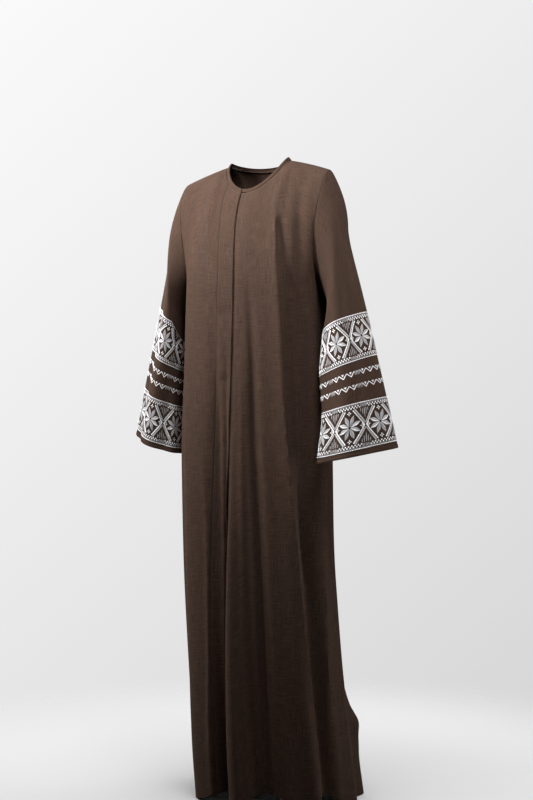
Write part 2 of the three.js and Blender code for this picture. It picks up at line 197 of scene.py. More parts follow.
FOLDS = {
    "underarm_left": Fold(-60, (90, 92), (20, 24), (-15, 4)),
    "underarm_right": Fold(-60, (-90, -92), (20, 24), (-15, 2)),
    "bust_line": Fold(-125, (37, 59), (8, 8), (6, 17), -2),
    "beside_bust_line": Fold(-135, (54, 67), (9, 7), (-7, -22), 12),
    "armhole_corner": Fold(-60, (74, 70), (8, 8), (7, -4)),
    "left_front_edge": Fold(-430, (80, 76), (7, 6), (4, 10), -6),
    "left_side": Fold(-800, (96, 93), (8, 9), (3, 18), -22),
    "left_front_soft": Fold(-450, (12, 17), (12, 11), (-3, -12), 16),
    "beside_placket": Fold(-700, (2, -5), (7, 7), (3, 15), -20),
    "placket_valley": Fold(-420, (-15, -24), (9, 9), (-4, -32), 8),
    "right_front": Fold(-420, (-44, -52), (15, 14), (3, 14), -20),
    "right_side": Fold(-600, (-78, -82), (10, 10), (-3, -12), 8),
    "right_back": Fold(-450, (-106, -108), (12, 12), (4, 20), -18),
    "back_valley_right": Fold(-350, (-134, -130), (11, 10), (-5, -24), 10),
    "back_ridge_right": Fold(-250, (-152, -150), (10, 10), (5, 20), -22),
    "back_middle": Fold(-300, (178, 182), (14, 12), (-5, -22), 4),
    "back_ridge_left": Fold(-250, (152, 156), (9, 10), (5, 22), -22),
    "back_valley_left": Fold(-350, (133, 136), (10, 9), (-5, -24), 10),
    "left_back": Fold(-1130, (114, 116), (10, 10), (18, 26), -22),
}

CREASES = {
    "bust_ridge": Crease((
        (-138, 37, 6, 0), (-162, 39, 6, 4.5), (-230, 40.5, 7, 4.5), (-330, 42, 8, 4.0),
        (-560, 46, 8, 4.0), (-890, 54, 8, 5.0), (-1150, 60, 8, 6.5), (-1300, 63, 9, 6.0),
        (-1425, 66, 10, 3.0),
    ), 1.3),
    "beside_bust_ridge": Crease((
        (-140, 45, 12, 0), (-165, 46, 13, -6), (-230, 50, 15, -6), (-330, 55, 18, -4),
        (-550, 60, 17, -5), (-890, 66, 16, -7), (-1190, 70, 15, -7), (-1425, 72, 14, -3),
    )),
    "bust_ridge_edge": Crease((
        (-360, 42.5, 4.5, 0), (-560, 46, 4.5, 1.5), (-890, 55, 4, 4.5), (-1150, 61, 4, 6.0),
        (-1320, 64, 4.5, 4.5), (-1425, 66, 6, 0),
    ), 1.2),
    "side_slit": Crease((
        (-640, 58.5, 6, 0), (-760, 61, 6, -6), (-880, 65.5, 6, -7), (-980, 68.5, 7, -3),
        (-1060, 71, 8, 0),
    )),
    "side_ridge": Crease((
        (-850, 78, 5, 0), (-950, 77.5, 5, 3), (-1087, 76, 5, 4.5), (-1195, 75, 5, 4.5),
        (-1302, 72.5, 6, 3), (-1390, 71.5, 6, 0),
    ), 1.3),
    "left_front_trough": Crease((
        (-270, 15, 12, 0), (-330, 17, 13, -3), (-438, 20, 12, -7), (-590, 22, 12, -11),
        (-891, 27, 12, -14), (-1190, 26, 13, -17), (-1425, 24, 14, -13),
    )),
    "beside_placket_ridge": Crease((
        (-420, 8, 10, 0), (-600, 9, 11, 2.5), (-900, 10, 12, 5), (-1190, 7, 13, 7),
        (-1425, 5, 13, 7),
    )),
    "placket_trough": Crease((
        (-400, -9, 9, 0), (-640, -10, 9, -7), (-760, -11, 9, -12), (-900, -11.5, 9, -15),
        (-1190, -14.5, 10, -25), (-1425, -17, 11, -22),
    )),
    "right_front_trough": Crease((
        (-330, -26, 12, 0), (-400, -24.5, 13, -3), (-550, -21.5, 13, -4.5), (-720, -20, 13, -5),
        (-900, -19, 13, -3), (-1020, -18, 13, 0),
    )),
    "right_front_ridge": Crease((
        (-620, -36, 12, 0), (-800, -29, 9, 5), (-1070, -29.5, 8.5, 10), (-1250, -32, 8.5, 11),
        (-1425, -34, 10, 8),
    ), 1.6),
    "right_side_trough": Crease((
        (-420, -64, 14, 0), (-620, -62, 15, -4), (-940, -60, 17, -7), (-1425, -63, 18, -8),
    )),
    "left_back_kink": Crease((
        (-1140, 110, 22, 0), (-1225, 111, 18, 7), (-1262, 112, 16, 17), (-1300, 113, 17, 8),
        (-1345, 114, 20, 2), (-1425, 114, 22, 0),
    )),
    "back_right_trough": Crease((
        (-300, -140, 12, 0), (-420, -141, 14, -4), (-700, -143, 15, -6), (-1050, -141, 17, -10),
        (-1425, -139, 18, -11),
    )),
    "back_right_ridge": Crease((
        (-520, -158, 8, 0), (-800, -160, 8, 3.5), (-1180, -157, 9, 5.5), (-1425, -155, 10, 3),
    ), 1.4),
    "back_middle_trough": Crease((
        (-380, 172, 12, 0), (-560, 171, 13, -4), (-900, 173, 16, -7), (-1425, 176, 18, -10),
    )),
    "back_left_ridge": Crease((
        (-430, 148, 8, 0), (-650, 149, 8, 3.5), (-1000, 152, 8, 5), (-1300, 154, 9, 5),
        (-1425, 155, 10, 3),
    ), 1.4),
    "back_left_trough": Crease((
        (-300, 128, 12, 0), (-480, 127, 14, -5), (-860, 126, 16, -8), (-1425, 129, 18, -9),
    )),
}


@dataclass(frozen=True)
class Neck:
    """The neck line: half width, and the depth and height of its front and its back.

    side_y is the depth of its sides, turn the degrees round the body that each quarter of it
    takes, and dip how steeply it falls away from its sides.
    """

    half_width: float = 76
    side_y: float = 12
    front: tuple[float, float] = (-64, -80)
    back: tuple[float, float] = (66, -8)
    turn: float = 40
    dip: float = 1.5


@dataclass
class BodyForm:
    """The surface of the body, by degrees round it and by how far down it is.

    Down is 0 at the neck line and shoulder seams, 1 at the armpits and 2 at the hem. swing and
    deepen say how early folds move and grow, growth is the height over which they start, and
    the corner values ease the shoulder beside the neck.
    """

    length: float = 1425
    armpit: float = 300
    radius: float = 165
    shoulder: tuple[float, float, float] = (176, 6, -33)
    shoulder_straight: float = 0.75
    neck: Neck = Neck()
    hem_lift: float = 22
    hem_bay: float = 1.3
    swing: float = 0.6
    deepen: float = 1.4
    growth: float = 200
    corner_ease: float = 16
    corner_reach: float = 24
    corner_fade: float = 8
    corner_taps: int = 6
    sections: Table = Table("z cx cy half_width front back square", [
        (-300, -2, 0, 166, 112, 106, 2.8), (-450, -3, 2, 172, 118, 112, 2.6),
        (-650, -5, 4, 180, 122, 118, 2.4), (-900, -4, 10, 180, 128, 122, 2.2),
        (-1100, 3, 17, 178, 134, 133, 2.1), (-1300, 14, 28, 175, 142, 158, 2.1),
        (-1425, 24, 36, 171, 146, 184, 2.1),
    ])
    yoke_front: Table = Table("angle out fall down along", [
        (0, 70, 170, 250, 0), (20, 110, 140, 260, 0), (40, 210, 70, 330, 0),
        (65, 235, 55, 250, 70), (90, 270, 40, 60, 240),
    ])
    yoke_back: Table = Table("angle out fall down along", [
        (0, 120, 130, 330, 0), (20, 140, 110, 330, 0), (40, 210, 70, 320, 0),
        (65, 235, 55, 250, 70), (90, 280, 40, 60, 240),
    ])
    lap: Table = Table("z seam edge", [
        (-60, -18, -4), (-150, -22.5, -5.5), (-300, -22, -3.8), (-500, -22.5, -4.3),
        (-900, -26.5, -9), (-1425, -32, -14.5),
    ])

    def fold_out(self, angle: Array, z: Array) -> Array:
        """How far the folds stand out of, or into, the plain section."""
        out = np.zeros(np.broadcast(angle, z).shape)
        for fold in FOLDS.values():
            t = np.clip((fold.start - z) / (fold.start + self.length), 0, 1)
            off = turn_between(angle, mix(*fold.at, t**self.swing)) / mix(*fold.wide, t)
            grown = smooth((fold.start - z) / self.growth)
            out = out + grown * mix(*fold.out, t**self.deepen) * bell(off)
        return out

    def crease_out(self, angle: Array, z: Array) -> Array:
        """How far the small creases stand out."""
        return sum(crease.out(angle, z, self.radius) for crease in CREASES.values())

    def hem_height(self, angle: Array) -> Array:
        """Height of the hem over the floor."""
        lift = np.full(np.shape(angle), float(self.hem_lift))
        for fold in FOLDS.values():
            lift = lift + fold.lift * bell(
                turn_between(angle, fold.at[1]) / (self.hem_bay * fold.wide[1])
            )
        return np.maximum(0, lift)

    def section_point(self, angle: Array, z: Array) -> Array:
        """A point of the plain body at a height at or below the armpits."""
        s = self.sections.at(z)
        across, along = np.sin(np.radians(angle)), np.cos(np.radians(angle))
        depth = mix(s["front"], s["back"], smooth((1 - along) / 2))
        inverse = np.abs(across / s["half_width"]) ** s["square"]
        inverse = inverse + np.abs(along / depth) ** s["square"]
        reach = inverse ** (-1 / s["square"]) + self.fold_out(angle, z)
        return stack(s["cx"] + reach * across, s["cy"] - reach * along, z)

    def quarter(self, angle: Array) -> tuple[Array, Array, Array]:
        """Whether an angle is in front, its side, and its degrees round from the middle."""
        turn = np.abs(turn_between(angle, 0))
        is_front = turn <= 90
        side = np.where(np.sin(np.radians(angle)) < 0, -1.0, 1.0)
        return is_front, side, np.where(is_front, turn, 180 - turn)

    def top_point(self, angle: Array) -> Array:
        """The upper edge of the body: the neck line, then the shoulder seam out to its tip."""
        is_front, side, about = self.quarter(angle)
        neck = self.neck
        middle_y = np.where(is_front, neck.front[0], neck.back[0])
        middle_z = np.where(is_front, neck.front[1], neck.back[1])
        q = np.radians(np.clip(about / neck.turn, 0, 1) * 90)
        cosine = np.clip(np.cos(q), 0, 1)
        at_neck = stack(
            side * neck.half_width * np.sin(q),
            mix(neck.side_y, middle_y, cosine),
            middle_z * cosine**neck.dip,
        )
        t = np.clip((about - neck.turn) / (90 - neck.turn), 0, 1)
        x, y, z = self.shoulder
        at_shoulder = stack(
            side * mix(neck.half_width, x, t),
            mix(neck.side_y, y, t),
            z * mix(t * t, t, self.shoulder_straight),
        )
        return np.where((about <= neck.turn)[..., None], at_neck, at_shoulder)

    def yoke_point(self, angle: Array, share: Array) -> Array:
        """A point between the top edge (share 0) and the armpits' section (share 1)."""
        is_front, side, about = self.quarter(angle)
        ahead = np.where(is_front, -1.0, 1.0)
        front, back = self.yoke_front.at(about), self.yoke_back.at(about)
        run = {name: np.where(is_front, front[name], back[name]) for name in front}
        level = np.full(np.shape(angle), -float(self.armpit))
        end = self.section_point(angle, level)
        step = -0.5 * side * ahead
        towards_side = unit(
            self.section_point(angle + step, level) - self.section_point(angle - step, level)
        )
        leave = stack(0 * ahead, ahead * run["out"], -run["fall"])
        downwards = self.section_point(angle, level - 1) - end
        arrive = towards_side * run["along"][..., None] + downwards * run["down"][..., None]
        near = smooth(1 - np.abs(about - self.neck.turn) / self.corner_reach)
        taps = np.linspace(-self.corner_ease, self.corner_ease, self.corner_taps)
        eased = sum(self.top_point(angle + tap * near) for tap in taps) / self.corner_taps
        top = mix(self.top_point(angle), eased, smooth(share * self.corner_fade)[..., None])
        point = hermite(top, leave, end, arrive, share[..., None])
        out = self.fold_out(angle, point[..., 2]) - self.fold_out(angle, level) * smooth(share)
        return point + out[..., None] * self.away(angle)

    def away(self, angle: Array) -> Array:
        """The level direction away from the body's axis."""
        turn = np.radians(angle)
        return stack(np.sin(turn), -np.cos(turn), 0 * turn)

    def plain_point(self, angle: Array, down: Array) -> Array:
        """A point of the body without its small creases."""
        angle, down = np.broadcast_arrays(np.asarray(angle, float), np.asarray(down, float))
        hem = self.hem_height(angle) - self.length
        low = self.section_point(angle, mix(-self.armpit, hem, np.maximum(down - 1, 0)))
        high = self.yoke_point(angle, np.minimum(down, 1))
        return np.where((down <= 1)[..., None], high, low)

    def point(self, angle: Array, down: Array) -> Array:
        """A point of the body with its small creases."""
        plain = self.plain_point(angle, down)
        out = self.crease_out(np.asarray(angle, float), plain[..., 2])
        return plain + out[..., None] * self.away(np.asarray(angle, float))


SLEEVE_COLUMNS = "at out_x out_y out_z in_x in_y in_z depth turn"
LEFT_SLEEVE = Table(SLEEVE_COLUMNS, [
    (0.0, 176, 6, -33, 150, 0, -300, 64, 0), (0.12, 202, 9, -112, 166, -9, -348, 69, 8),
    (0.25, 215, 12, -184, 170, -28, -394, 68, 16), (0.5, 255, 8, -338, 172, -54, -486, 62, 22),
    (0.75, 293, 2, -492, 185, -70, -583, 60, 25), (1.0, 332, -4, -650, 176, -78, -684, 60, 25),
])
RIGHT_SLEEVE = Table(SLEEVE_COLUMNS, [
    (0.0, 176, 6, -33, 155, 0, -300, 64, 0), (0.12, 200, 9, -110, 168, -4, -345, 66, 4),
    (0.25, 210, 10, -180, 174, -8, -392, 64, 6), (0.5, 241, 8, -330, 180, -16, -475, 56, 8),
    (0.75, 270, 6, -474, 188, -24, -568, 58, 10), (1.0, 299, 4, -616, 190, -32, -662, 58, 12),
])
SLEEVE_FOLDS = Table("at wide out", [
    (30, 16, 4), (62, 14, -6), (100, 18, 6), (140, 16, -6), (205, 18, 5), (245, 16, -6),
    (290, 18, 5), (328, 15, -4),
])


@dataclass
class SleeveForm:
    """The surface of a sleeve, by degrees round it and by how far along it is.

    Round is 0 at the shoulder tip, 90 in front and 180 at the armpit. Along is 0 at the armhole
    and 1 at the cuff's edge. The cap values say how the cloth leaves the armhole at the tip and
    the armpit, before it blends into the sections.
    """

    body: BodyForm
    side: float
    sections: Table
    length: float = 640
    cap_blend: float = 0.3
    cap_tip: tuple[float, float] = (0.45, -0.89)
    cap_armpit: tuple[float, float] = (0.62, -0.78)
    cap_length: float = 420
    edge: float = 0.05
    folds_from: float = 0.06
    folds_growth: float = 0.4

    def point(self, about: Array, along: Array) -> Array:
        """A point of the sleeve with its folds."""
        about, along = np.broadcast_arrays(np.asarray(about, float), np.asarray(along, float))
        about = about % 360.0
        s = self.sections.at(along)
        c, f = np.cos(np.radians(about)), np.sin(np.radians(about))
        outer = stack(s["out_x"], s["out_y"], s["out_z"])
        inner = stack(s["in_x"], s["in_y"], s["in_z"])
        turn = np.radians(s["turn"])
        forward = stack(np.sin(turn), -np.cos(turn), 0 * turn)
        reach = (outer - inner) / 2 * c[..., None] + forward * (s["depth"] * f)[..., None]
        grown = smooth((along - self.folds_from) / self.folds_growth)
        out = np.zeros(about.shape)
        for at, wide, height in SLEEVE_FOLDS.rows:
            out = out + height * grown * bell(turn_between(about, at) / wide)
        section = (outer + inner) / 2 + reach * (1 + out[..., None] / lengths(reach))
        section[..., 0] *= self.side
        in_front = about <= 180
        hole_angle = self.side * np.where(in_front, 90 - self.edge, 90 + self.edge)
        hole_down = np.where(in_front, about, 360 - about) / 180
        to_tip = (1 + c) / 2
        run = stack(
            self.side * mix(self.cap_armpit[0], self.cap_tip[0], to_tip),
            0 * c,
            mix(self.cap_armpit[1], self.cap_tip[1], to_tip),
        )
        cap = self.body.plain_point(hole_angle, hole_down)
        cap = cap + run * (along * self.cap_length)[..., None]
        return mix(cap, section, smooth(along / self.cap_blend)[..., None])


def directions_out(point: Callable[[Array, Array], Array], u: Array, v: Array,
                   steps: tuple[float, float], turned: bool = False) -> Array:
    """The outward directions of a surface by small steps along its two parameters.

    Args:
        point: The surface.
        u: The parameter that runs left to right, seen from outside.
        v: The parameter that runs downwards.
        steps: The steps along u and v.
        turned: Whether u runs the other way.

    Returns:
        Unit vectors.
    """
    across = point(u + steps[0], v) - point(u - steps[0], v)
    downward = point(u, v + steps[1]) - point(u, v - steps[1])
    out = unit(np.cross(downward, across))
    return -out if turned else out


# ---- meshes ----
def linked(name: str, data: bpy.types.ID) -> bpy.types.Object:
    """Makes an object of its data, in the scene."""
    made = bpy.data.objects.new(name, data)
    bpy.context.scene.collection.objects.link(made)
    return made


def keep_vectors(mesh: bpy.types.Mesh, name: str, vectors: Array) -> None:
    """Keeps a vector on each point of a mesh."""
    layer = mesh.attributes.new(name, "FLOAT_VECTOR", "POINT")
    layer.data.foreach_set("vector", vectors.astype(np.float32).ravel())


def new_object(name: str, points: Array, faces: Sequence[Sequence[int]]) -> bpy.types.Object:
    """Makes a smooth mesh object from points in millimetres."""
    mesh = bpy.data.meshes.new(name)
    mesh.from_pydata((points * MM).tolist(), [], faces)
    mesh.validate()
    mesh.polygons.foreach_set("use_smooth", [True] * len(mesh.polygons))
    mesh.set_sharp_from_angle(angle=math.radians(SHARP_ANGLE))
    return linked(name, mesh)


@dataclass
class Shell:
    """A closed wall of cloth from a grid of outer points and their outward directions.

    Columns run left to right and rows downwards, seen from outside. turned says the columns
    run the other way, and ring joins the last column to the first.
    """

    points: Array
    out: Array
    flat: Array
    thickness: float
    ring: bool = False
    turned: bool = False

    def faces(self) -> Array:
        """The faces: the outer and inner walls, then the rims that join them."""
        height, width = self.points.shape[:2]
        i = np.arange(height - 1)[:, None]
        j = np.arange(width if self.ring else width - 1)
        low, right = height - 1, width - 1

        def quads(*corners: tuple[int, Any, Any]) -> Array:
            """Faces by the wall, row and column of their corners."""
            ends = [(wall * height + row) * width + column % width for wall, row, column in corners]
            return np.stack(np.broadcast_arrays(*ends), -1).reshape(-1, 4)

        sheets = [
            quads((0, i, j), (0, i + 1, j), (0, i + 1, j + 1), (0, i, j + 1)),
            quads((1, i, j), (1, i, j + 1), (1, i + 1, j + 1), (1, i + 1, j)),
            quads((0, 0, j), (0, 0, j + 1), (1, 0, j + 1), (1, 0, j)),
            quads((0, low, j), (1, low, j), (1, low, j + 1), (0, low, j + 1)),
        ]
        if not self.ring:
            sheets += [
                quads((0, i, 0), (1, i, 0), (1, i + 1, 0), (0, i + 1, 0)),
                quads((0, i, right), (0, i + 1, right), (1, i + 1, right), (1, i, right)),
            ]
        faces = np.concatenate(sheets)
        return faces[:, ::-1] if self.turned else faces

    def build(self, name: str, finish: bpy.types.Material) -> bpy.types.Object:
        """Makes the wall with its weave's coordinates in a UV map.

        Args:
            name: The piece's name.
            finish: The cloth's material.

        Returns:
            The mesh object.
        """
        walls = (self.points, self.points - self.out * self.thickness)
        points = np.concatenate([wall.reshape(-1, 3) for wall in walls])
        piece = new_object(name, points, self.faces().tolist())
        flat = np.concatenate([self.flat.reshape(-1, 2)] * 2) * MM
        loops = np.empty(len(piece.data.loops), int)
        piece.data.loops.foreach_get("vertex_index", loops)
        piece.data.uv_layers.new(name="weave").data.foreach_set("uv", flat[loops].ravel())
        piece.data.materials.append(finish)
        return piece


def flat_from(points: Array, start: int) -> Array:
    """The weave's coordinates: along each row from a start column, and down that column."""
    u = travelled(points, 1)
    v = travelled(points[:, start], 0)[:, None]
    return np.stack(np.broadcast_arrays(u - u[:, start : start + 1], v), axis=-1)


# ---- node trees ----
class Value:
    """A socket of a node tree, whose sums and products add their Math nodes."""

    def __init__(self, tree: Nodes, socket: bpy.types.NodeSocket) -> None:
        """Keeps the socket and its tree."""
        self.tree = tree
        self.socket = socket

    def _math(self, operation: str, *values: Any) -> Value:
        """Adds a Math node."""
        return self.tree.node("ShaderNodeMath", {"operation": operation}, *values)

    def __add__(self, other: Any) -> Value:
        """The sum."""
        return self._math("ADD", self, other)

    def __radd__(self, other: Any) -> Value:
        """The sum."""
        return self._math("ADD", other, self)

    def __sub__(self, other: Any) -> Value:
        """The difference."""
        return self._math("SUBTRACT", self, other)

    def __rsub__(self, other: Any) -> Value:
        """The difference from another value."""
        return self._math("SUBTRACT", other, self)

    def __mul__(self, other: Any) -> Value:
        """The product."""
        return self._math("MULTIPLY", self, other)

    def __rmul__(self, other: Any) -> Value:
        """The product."""
        return self._math("MULTIPLY", other, self)

    def __truediv__(self, other: Any) -> Value:
        """The quotient."""
        return self._math("DIVIDE", self, other)

    def __rtruediv__(self, other: Any) -> Value:
        """Another value's quotient by this one."""
        return self._math("DIVIDE", other, self)

    def sine(self) -> Value:
        """The sine."""
        return self._math("SINE", self)

    def cosine(self) -> Value:
        """The cosine."""
        return self._math("COSINE", self)


def socket_at(sockets: Any, key: int | str) -> bpy.types.NodeSocket:
    """A node's socket by its place, or the one in use that has a name."""
    if isinstance(key, int):
        return sockets[key]
    return next(socket for socket in sockets if socket.name == key and socket.enabled)


class Nodes:
    """A node tree, built one call to a node."""

    def __init__(self, tree: bpy.types.NodeTree) -> None:
        """Keeps the tree's nodes and links."""
        self.nodes, self.links = tree.nodes, tree.links

    def add(self, kind: str, settings: dict[str, Any], inputs: dict[int | str, Any]) -> bpy.types.Node:
        """Adds a node.

        Args:
            kind: The node's type.
            settings: Its own settings, made first.
            inputs: Values or links of its sockets, by place or name.

        Returns:
            The node.
        """
        made = self.nodes.new(kind)
        for name, value in settings.items():
            setattr(made, name, value)
        for key, value in inputs.items():
            socket = socket_at(made.inputs, key)
            if isinstance(value, Value):
                self.links.new(value.socket, socket)
            else:
                socket.default_value = value
        return made

    def node(self, kind: str, settings: dict[str, Any], *inputs: Any, out: int | str = 0,
             **named: Any) -> Value:
        """Adds a node and gives one of its outputs.

        Args:
            kind: The node's type.
            settings: Its own settings, made first.
            inputs: Values or links of its sockets, in order.
            out: The output, by place or name.
            named: Values or links of its sockets by name, with _ for a space.

        Returns:
            The output as a value.
        """
        sockets = {name.replace("_", " "): value for name, value in named.items()}
        made = self.add(kind, settings, {**dict(enumerate(inputs)), **sockets})
        return Value(self, socket_at(made.outputs, out))

    def coordinates(self, vector: Value) -> tuple[Value, ...]:
        """The three coordinates of a vector."""
        split = self.add("ShaderNodeSeparateXYZ", {}, {0: vector})
        return tuple(Value(self, socket) for socket in split.outputs)


class Shading(Nodes):
    """The shader tree of a material or a world."""

    def __init__(self, owner: bpy.types.Material | bpy.types.World) -> None:
        """Starts the owner's tree, empty."""
        owner.use_nodes = True
        super().__init__(owner.node_tree)
        self.owner = owner
        self.nodes.clear()

    def blend(self, factor: Any, a: Value | Colour, b: Value | Colour) -> Value:
        """Mixes two colours by a factor from 0 to 1."""
        a, b = (end if isinstance(end, Value) else (*end, 1.0) for end in (a, b))
        kind = {"data_type": "RGBA", "clamp_factor": True}
        return self.node("ShaderNodeMix", kind, Factor=factor, A=a, B=b, out="Result")

    def dress(self, colour: Value, height: Value, relief: tuple[float, float],
              **constants: Any) -> bpy.types.Material:
        """Ends a material.

        Args:
            colour: Its colour.
            height: The height that its relief follows.
            relief: The relief's strength, and its depth in metres.
            constants: Values of the shader's own sockets.

        Returns:
            The material.
        """
        strength, depth = relief
        bump = self.node("ShaderNodeBump", {}, Strength=strength, Distance=depth, Height=height)
        return self.finish(self.node(
            "ShaderNodeBsdfPrincipled", {}, Base_Color=colour, Normal=bump, **constants
        ))

    def finish(self, shader: Value) -> Any:
        """Joins the shader to the output and returns the material or world."""
        word = "World" if isinstance(self.owner, bpy.types.World) else "Material"
        self.add(f"ShaderNodeOutput{word}", {}, {"Surface": shader})
        return self.owner


@dataclass(frozen=True)
class ClothFinish:
    """A matt slub weave: its colours, how uneven its yarns are, and its sheen.

    yarn and slub_length are a yarn's width and length in metres, stripe those of the cooler
    stripes, and stripe_from and stripe_rise where and how fast these set in.
    """

    name: str
    colour: Colour
    light_yarn: Colour
    cool_yarn: Colour
    slub: float = 1.05
    yarn: float = 0.0013
    slub_length: float = 0.032
    stripe: tuple[float, float] = (0.011, 0.3)
    stripe_from: float = 0.42
    stripe_rise: float = 1.8
    relief: tuple[float, float] = (0.5, 0.0004)
    sheen: float = 0.015
    sheen_tint: Colour = (0.95, 0.8, 0.68)

    def streaks(self, tree: Shading, flat: Value, across: float, along: float) -> Value:
        """Uneven streaks of a width and a length in metres, from 0 to 1."""
        size = (across, along, 1.0)
        scaled = tree.node("ShaderNodeVectorMath", {"operation": "DIVIDE"}, flat, size)
        return tree.node(
            "ShaderNodeTexNoise", {"noise_dimensions": "2D"}, Vector=scaled, Scale=1.0,
            Detail=2.0, Roughness=0.6,
        )

    def build(self) -> bpy.types.Material:
        """Makes the material on the piece's weave coordinates, in metres."""
        tree = Shading(bpy.data.materials.new(self.name))
        flat = tree.node("ShaderNodeUVMap", {"uv_map": "weave"})
        warp = self.streaks(tree, flat, self.yarn, self.slub_length)
        weft = self.streaks(tree, flat, self.slub_length, self.yarn)
        stripe = self.streaks(tree, flat, *self.stripe)
        uneven = (warp + weft - 1.0) * self.slub + 0.5
        brown = tree.blend(uneven, self.colour, self.light_yarn)
        colour = tree.blend((stripe - self.stripe_from) * self.stripe_rise, brown, self.cool_yarn)
        return tree.dress(
            colour, warp + weft, self.relief, Roughness=0.85, Sheen_Weight=self.sheen,
            Sheen_Roughness=0.45, Sheen_Tint=(*self.sheen_tint, 1.0), Specular_IOR_Level=0.02,
        )


@dataclass(frozen=True)
class ThreadFinish:
    """A satin thread: its colour and its painted shade colour, the pitch of its stitches in
    millimetres, its relief.
    """

    name: str
    colour: Colour
    # shade: painted shade in the grooves between stitches, and the dark end of tone_and_sheen
    shade: Colour
    pitch: float = 0.45
    relief: tuple[float, float] = (0.5, 0.0002)
    # groove_shade_share: how much of the colour is painted groove shade
    groove_shade_share: float = 0.45

    def build(self) -> bpy.types.Material:
        """Makes the material on the stitch attribute: along, across and tone_and_sheen, with painted
        shade in the grooves between stitches.
        """
        tree = Shading(bpy.data.materials.new(self.name))
        lie = tree.node("ShaderNodeAttribute", {"attribute_name": "stitch"}, out="Vector")
        along, _, tone_and_sheen = tree.coordinates(lie)
        place = tree.node("ShaderNodeTexCoord", {}, out="Object")
        uneven = tree.node("ShaderNodeTexNoise", {}, Vector=place, Scale=900.0, Detail=1.0)
        # painted shade: the ridges that bump the thread also darken its grooves towards the shade
        # colour
        ridges = (along * (math.tau / self.pitch) + uneven * 3.0).sine() * 0.5 + 0.5
        # groove_shade_share of the colour is the painted groove shade, and the rest follows
        # tone_and_sheen
        factor = ridges * self.groove_shade_share + tone_and_sheen * (1 - self.groove_shade_share)
        return tree.dress(
            tree.blend(factor, self.shade, self.colour), ridges, self.relief, Roughness=0.5,
            Sheen_Weight=0.15, Sheen_Roughness=0.3, Specular_IOR_Level=0.35,
        )


class Build(Nodes):
    """A Geometry Nodes tree with named inputs, run once and kept as a plain mesh."""

    def __init__(self, name: str, inputs: dict[str, str]) -> None:
        """Makes the tree.

        Args:
            name: The tree's name.
            inputs: The kind of each input besides the geometry, by name.
        """
        self.group = bpy.data.node_groups.new(name, "GeometryNodeTree")
        super().__init__(self.group)
        face = self.group.interface
        for way in ("INPUT", "OUTPUT"):
            face.new_socket("Geometry", in_out=way, socket_type="NodeSocketGeometry")
        self.keys = {
            label: face.new_socket(label, in_out="INPUT", socket_type=f"NodeSocket{kind}").identifier
            for label, kind in inputs.items()
        }
        self.given = self.nodes.new("NodeGroupInput")

    def input(self, label: str) -> Value:
        """One of the tree's inputs."""
        return Value(self, self.given.outputs[label])

    def attribute(self, name: str) -> Value:
        """A vector kept on the points."""
        return self.node("GeometryNodeInputNamedAttribute", {"data_type": "FLOAT_VECTOR"}, Name=name)

    def finish(self, instances: Value) -> None:
        """Ends the tree: its instances made real, and the material set."""
        real = self.node("GeometryNodeRealizeInstances", {}, instances)
        dressed = self.node(
            "GeometryNodeSetMaterial", {}, Geometry=real, Material=self.input("Material")
        )
        self.add("NodeGroupOutput", {}, {0: dressed})

    def run(self, name: str, source: bpy.types.Object, values: dict[str, Any]) -> bpy.types.Object:
        """Runs the tree on an object and keeps the result.

        Args:
            name: The new piece's name.
            source: The object that the tree starts from; it is removed.
            values: Values of the tree's inputs, by name.

        Returns:
            The new piece.
        """
        modifier = source.modifiers.new("build", "NODES")
        modifier.node_group = self.group
        for label, value in values.items():
            modifier[self.keys[label]] = value
        graph = bpy.context.evaluated_depsgraph_get()
        mesh = bpy.data.meshes.new_from_object(
            source.evaluated_get(graph), preserve_all_data_layers=True, depsgraph=graph
        )
        source.modifiers.remove(modifier)
        bpy.data.objects.remove(source)
        mesh.name = name
        return linked(name, mesh)


# ---- embroidery ----
class Thread(Enum):
    """The two embroidery threads."""

    WHITE = "white_thread"
    SILVER = "silver_thread"


@dataclass(frozen=True)
class Stroke:
    """A satin stroke in flat millimetres: its middle line, its widths along it, and its thread.

    profile is its section, in shares of its width and of how proud it is. crown is the share
    that it stands higher between its ends.
    """

    line: tuple[tuple[float, float], ...]
    widths: tuple[float, ...]
    thread: Thread
    # tone_and_sheen: how near the thread's colour the stroke is; its own grey and, on the star's
    # petals, painted sheen
    tone_and_sheen: float = 1.0
    proud: float = 0.75
    step: float = 6.0
    profile: tuple[tuple[float, float], ...] = (
        (-0.5, -0.15), (-0.3, 0.75), (0.3, 0.75), (0.5, -0.15)
    )
    crown: float = 0.25

    def rings(self) -> tuple[Array, Array]:
        """The stroke's sections.

        Returns:
            Points by section and place across, and the stitch coordinates of the same.
        """
        line = np.array(self.line, float)
        runs = np.concatenate([[0.0], np.cumsum(np.hypot(*np.diff(line, axis=0).T))])
        stops = [np.array([0.0])]
        for a, b in zip(runs[:-1], runs[1:]):
            stops.append(np.linspace(a, b, math.ceil((b - a) / self.step) + 1)[1:])
        along = np.concatenate(stops)
        x, y = (np.interp(along, runs, line[:, k]) for k in (0, 1))
        width = np.interp(along, runs, self.widths)
        ahead = unit(np.stack([np.gradient(x, along), np.gradient(y, along)], -1))
        across, height = np.array(self.profile).T
        off = across[None, :] * width[:, None]
        points = stack(
            x[:, None] - ahead[:, 1:] * off, y[:, None] + ahead[:, :1] * off, height * self.proud
        )
        points[1:-1, 1:-1, 2] += self.crown * self.proud
        return points, stack(along[:, None], off, self.tone_and_sheen)


